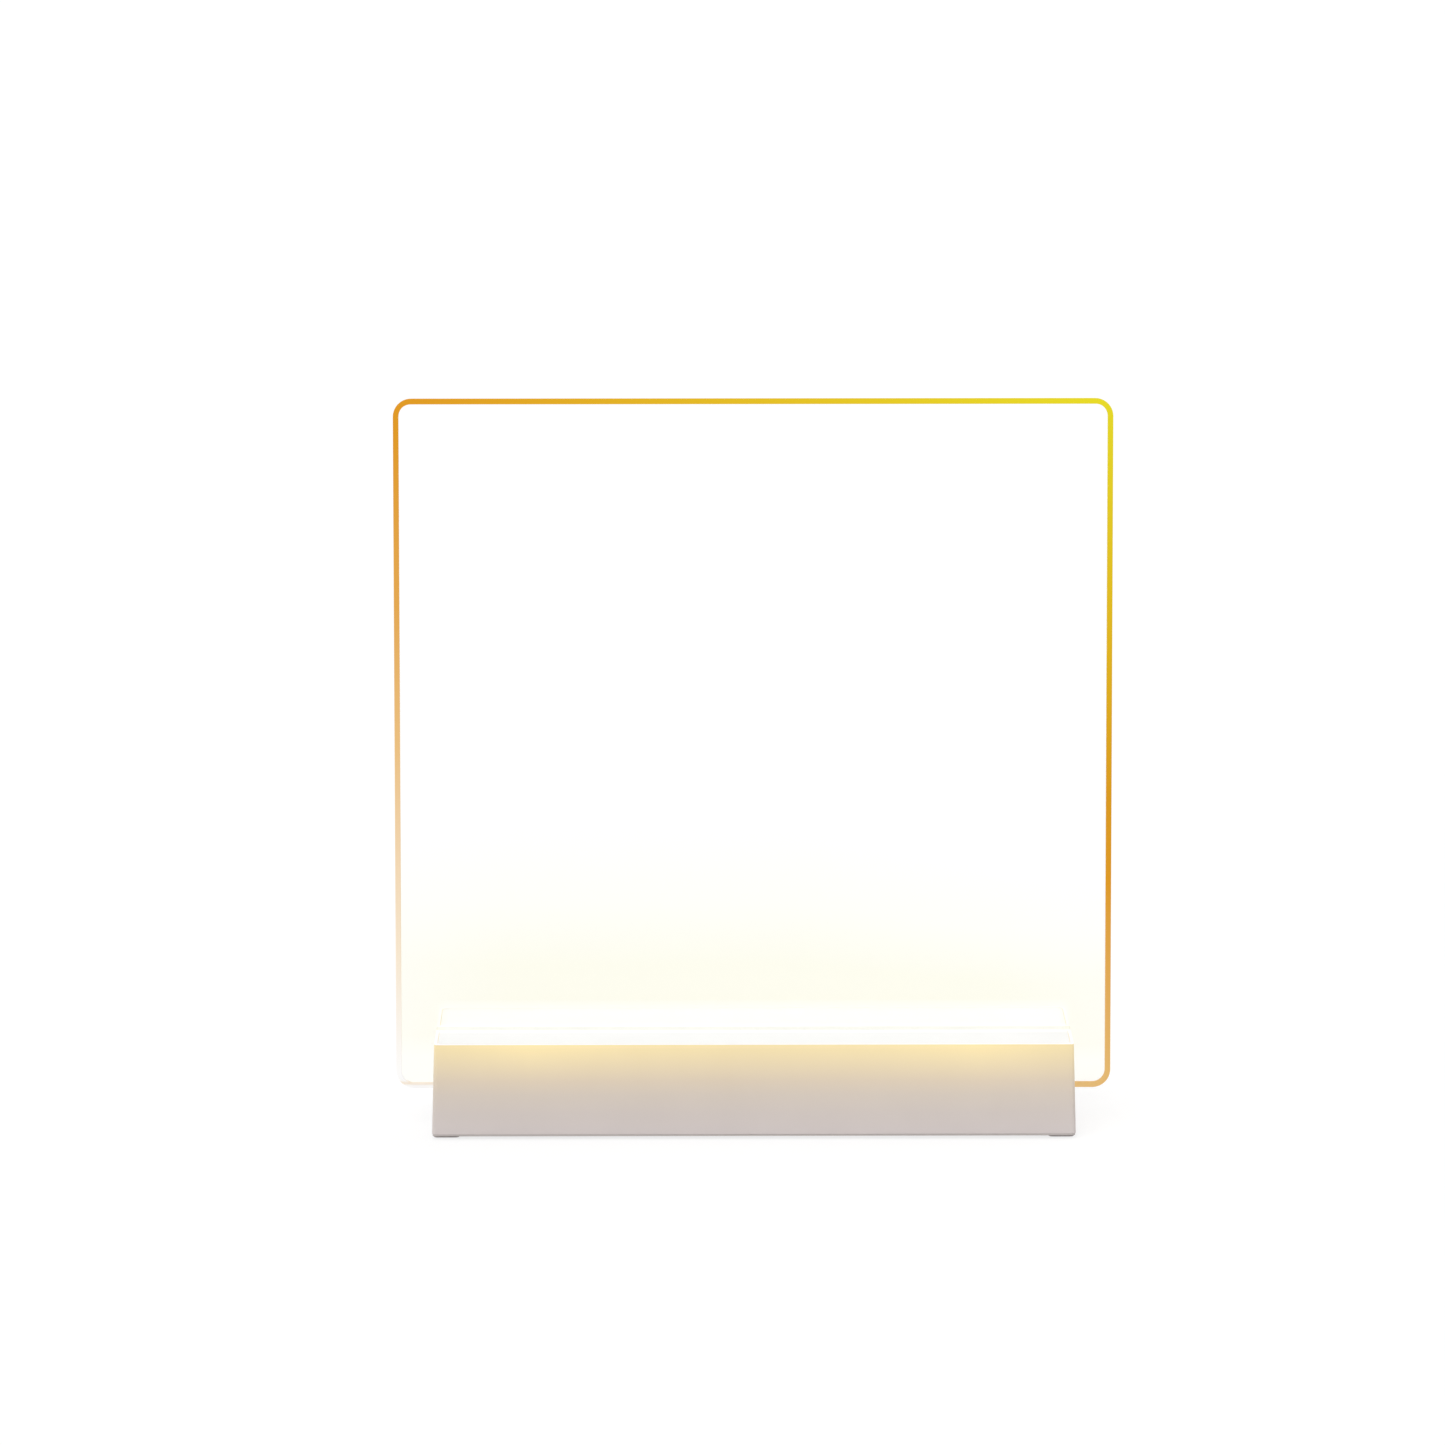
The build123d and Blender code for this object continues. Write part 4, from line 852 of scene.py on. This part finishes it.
# %% [markdown]
# White ink marks where each part goes on the control board. It is printed through a screen: a thin flat line
# with crisp corners. Each outline is a small profile, four points, carried round the four corners of a
# part's footprint.

# %% Printed outlines on the control board
INK_GAP, INK_WIDTH, INK_THICK, INK_SUNK = 0.35, 0.18, 0.02, 0.01
CHIP_LENGTH = 5.0


def outlines(footprints):
    """Frames round boxes (x0, y0, x1, y1): four profile points are the rows, four corners the columns."""
    footprints = np.asarray(footprints)
    middle = (footprints[:, :2] + footprints[:, 2:]) / 2
    half = (footprints[:, 2:] - footprints[:, :2]) / 2 + INK_GAP
    grow = np.array([INK_WIDTH, INK_WIDTH, 0, 0])
    level = board_top + np.array([-INK_SUNK, INK_THICK, INK_THICK, -INK_SUNK])
    turn = np.array([(1, 1), (-1, 1), (-1, -1), (1, -1)])
    flat = middle[:, None, None] + (half[:, None, None] + grow[None, :, None, None]) * turn[None, None]
    up = np.broadcast_to(level[None, :, None, None], (*flat.shape[:3], 1))
    return np.concatenate([flat, up], -1)


chips_left, chips_right = low_mm("board_chips")[0], high_mm("board_chips")[0]
footprints = [
    (chips_left, leads_low[1], chips_left + CHIP_LENGTH, leads_high[1]),
    (chips_right - CHIP_LENGTH, leads_low[1], chips_right, leads_high[1]),
]
for node in ("power_inductor", "switch_body"):
    footprints.append((*low_mm(node)[:2], *high_mm(node)[:2]))
ink = surface("board_print", outlines(footprints), "screen_ink", wrap=True, ring=True)
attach(ink, "base")

# %% [markdown]
# The photograph's ground is pure white. A plain floor is one more grid at height zero, pale and matt as
# paper. For rays that reach the camera it adds a lift, so that it reads as white, and the object's soft
# shadow stays. The lamps never see that lift, so nothing is lit more by it. What gloss and glass show of
# the floor counts as seen by the camera too.

# %% Floor
FLOOR_SIDE = 14000.0
FLOOR_LINES = 9
PAPER_SHARE = 0.72
PAPER_WHITE = 1.1


def seen(tree):
    """One for rays from the camera, also by way of gloss or glass, and none for rays that light things."""
    rays = add(tree, "LightPath").outputs
    shown = add(tree, "Math", {0: rays["Is Camera Ray"], 1: rays["Is Glossy Ray"]}, operation="ADD")
    return add(tree, "Math", {0: shown, 1: rays["Is Transmission Ray"]}, operation="ADD", use_clamp=True)


tree, _, body = surfaced(
    "pale_floor", dark="#E6E6E6", light="#E9E9E9", blotch=400, grit=3, rough=0.8, raise_mm=0.001,
    sockets={"Specular IOR Level": 0},
)
lift = add(tree, "Math", {0: seen(tree), 1: PAPER_SHARE}, operation="MULTIPLY")
paper = add(tree, "Emission", {"Color": WHITE, "Strength": PAPER_WHITE})
shows(tree, add(tree, "MixShader", {0: lift, 1: body, 2: paper}))
span = np.linspace(-FLOOR_SIDE / 2, FLOOR_SIDE / 2, FLOOR_LINES)
floor_x, floor_y = np.meshgrid(span, span)
floor = surface("floor", np.stack([floor_x, floor_y, np.zeros_like(floor_x)], -1)[None], "pale_floor")

# %% [markdown]
# Soft light from all round is a white sky. What the camera sees of it is pure white, and what lights the
# object is less, so that pale surfaces keep their colour.

# %% Sky
SKY_LIGHT = 0.62

world = bpy.data.worlds.new("studio")
bpy.context.scene.world = world
world.use_nodes = True
tree = world.node_tree
tree.nodes.clear()
strength = add(tree, "MapRange", {"Value": seen(tree), "To Min": SKY_LIGHT, "To Max": 1})
sky = add(tree, "Background", {"Color": WHITE, "Strength": strength})
add(tree, "OutputWorld", {"Surface": sky})
print("light from the sky:", SKY_LIGHT)

# %% [markdown]
# One large lamp above and in front of the left shoulder gives the walls and the top their slight difference,
# and a weaker one behind keeps the back from going flat. Both are as soft as a wide window.

# %% Lamps
SOFTNESS_DEG = 50.0
LAMPS = {
    "key_lamp": ((-0.35, -0.55, 0.75), 1.25),
    "rim_lamp": ((0.5, 0.6, 0.62), 0.6),
}

for name, (side, power) in LAMPS.items():
    lamp = bpy.data.objects.new(name, bpy.data.lights.new(name, "SUN"))
    lamp.rotation_euler = Vector(side).to_track_quat("Z", "Y").to_euler()
    lamp.data.angle = radians(SOFTNESS_DEG)
    lamp.data.energy = power
    bpy.context.scene.collection.objects.link(lamp)
print("lamps:", list(LAMPS))

# %% [markdown]
# The colours are shown as written, through the Standard view transform.

bpy.context.scene.view_settings.view_transform = "Standard"
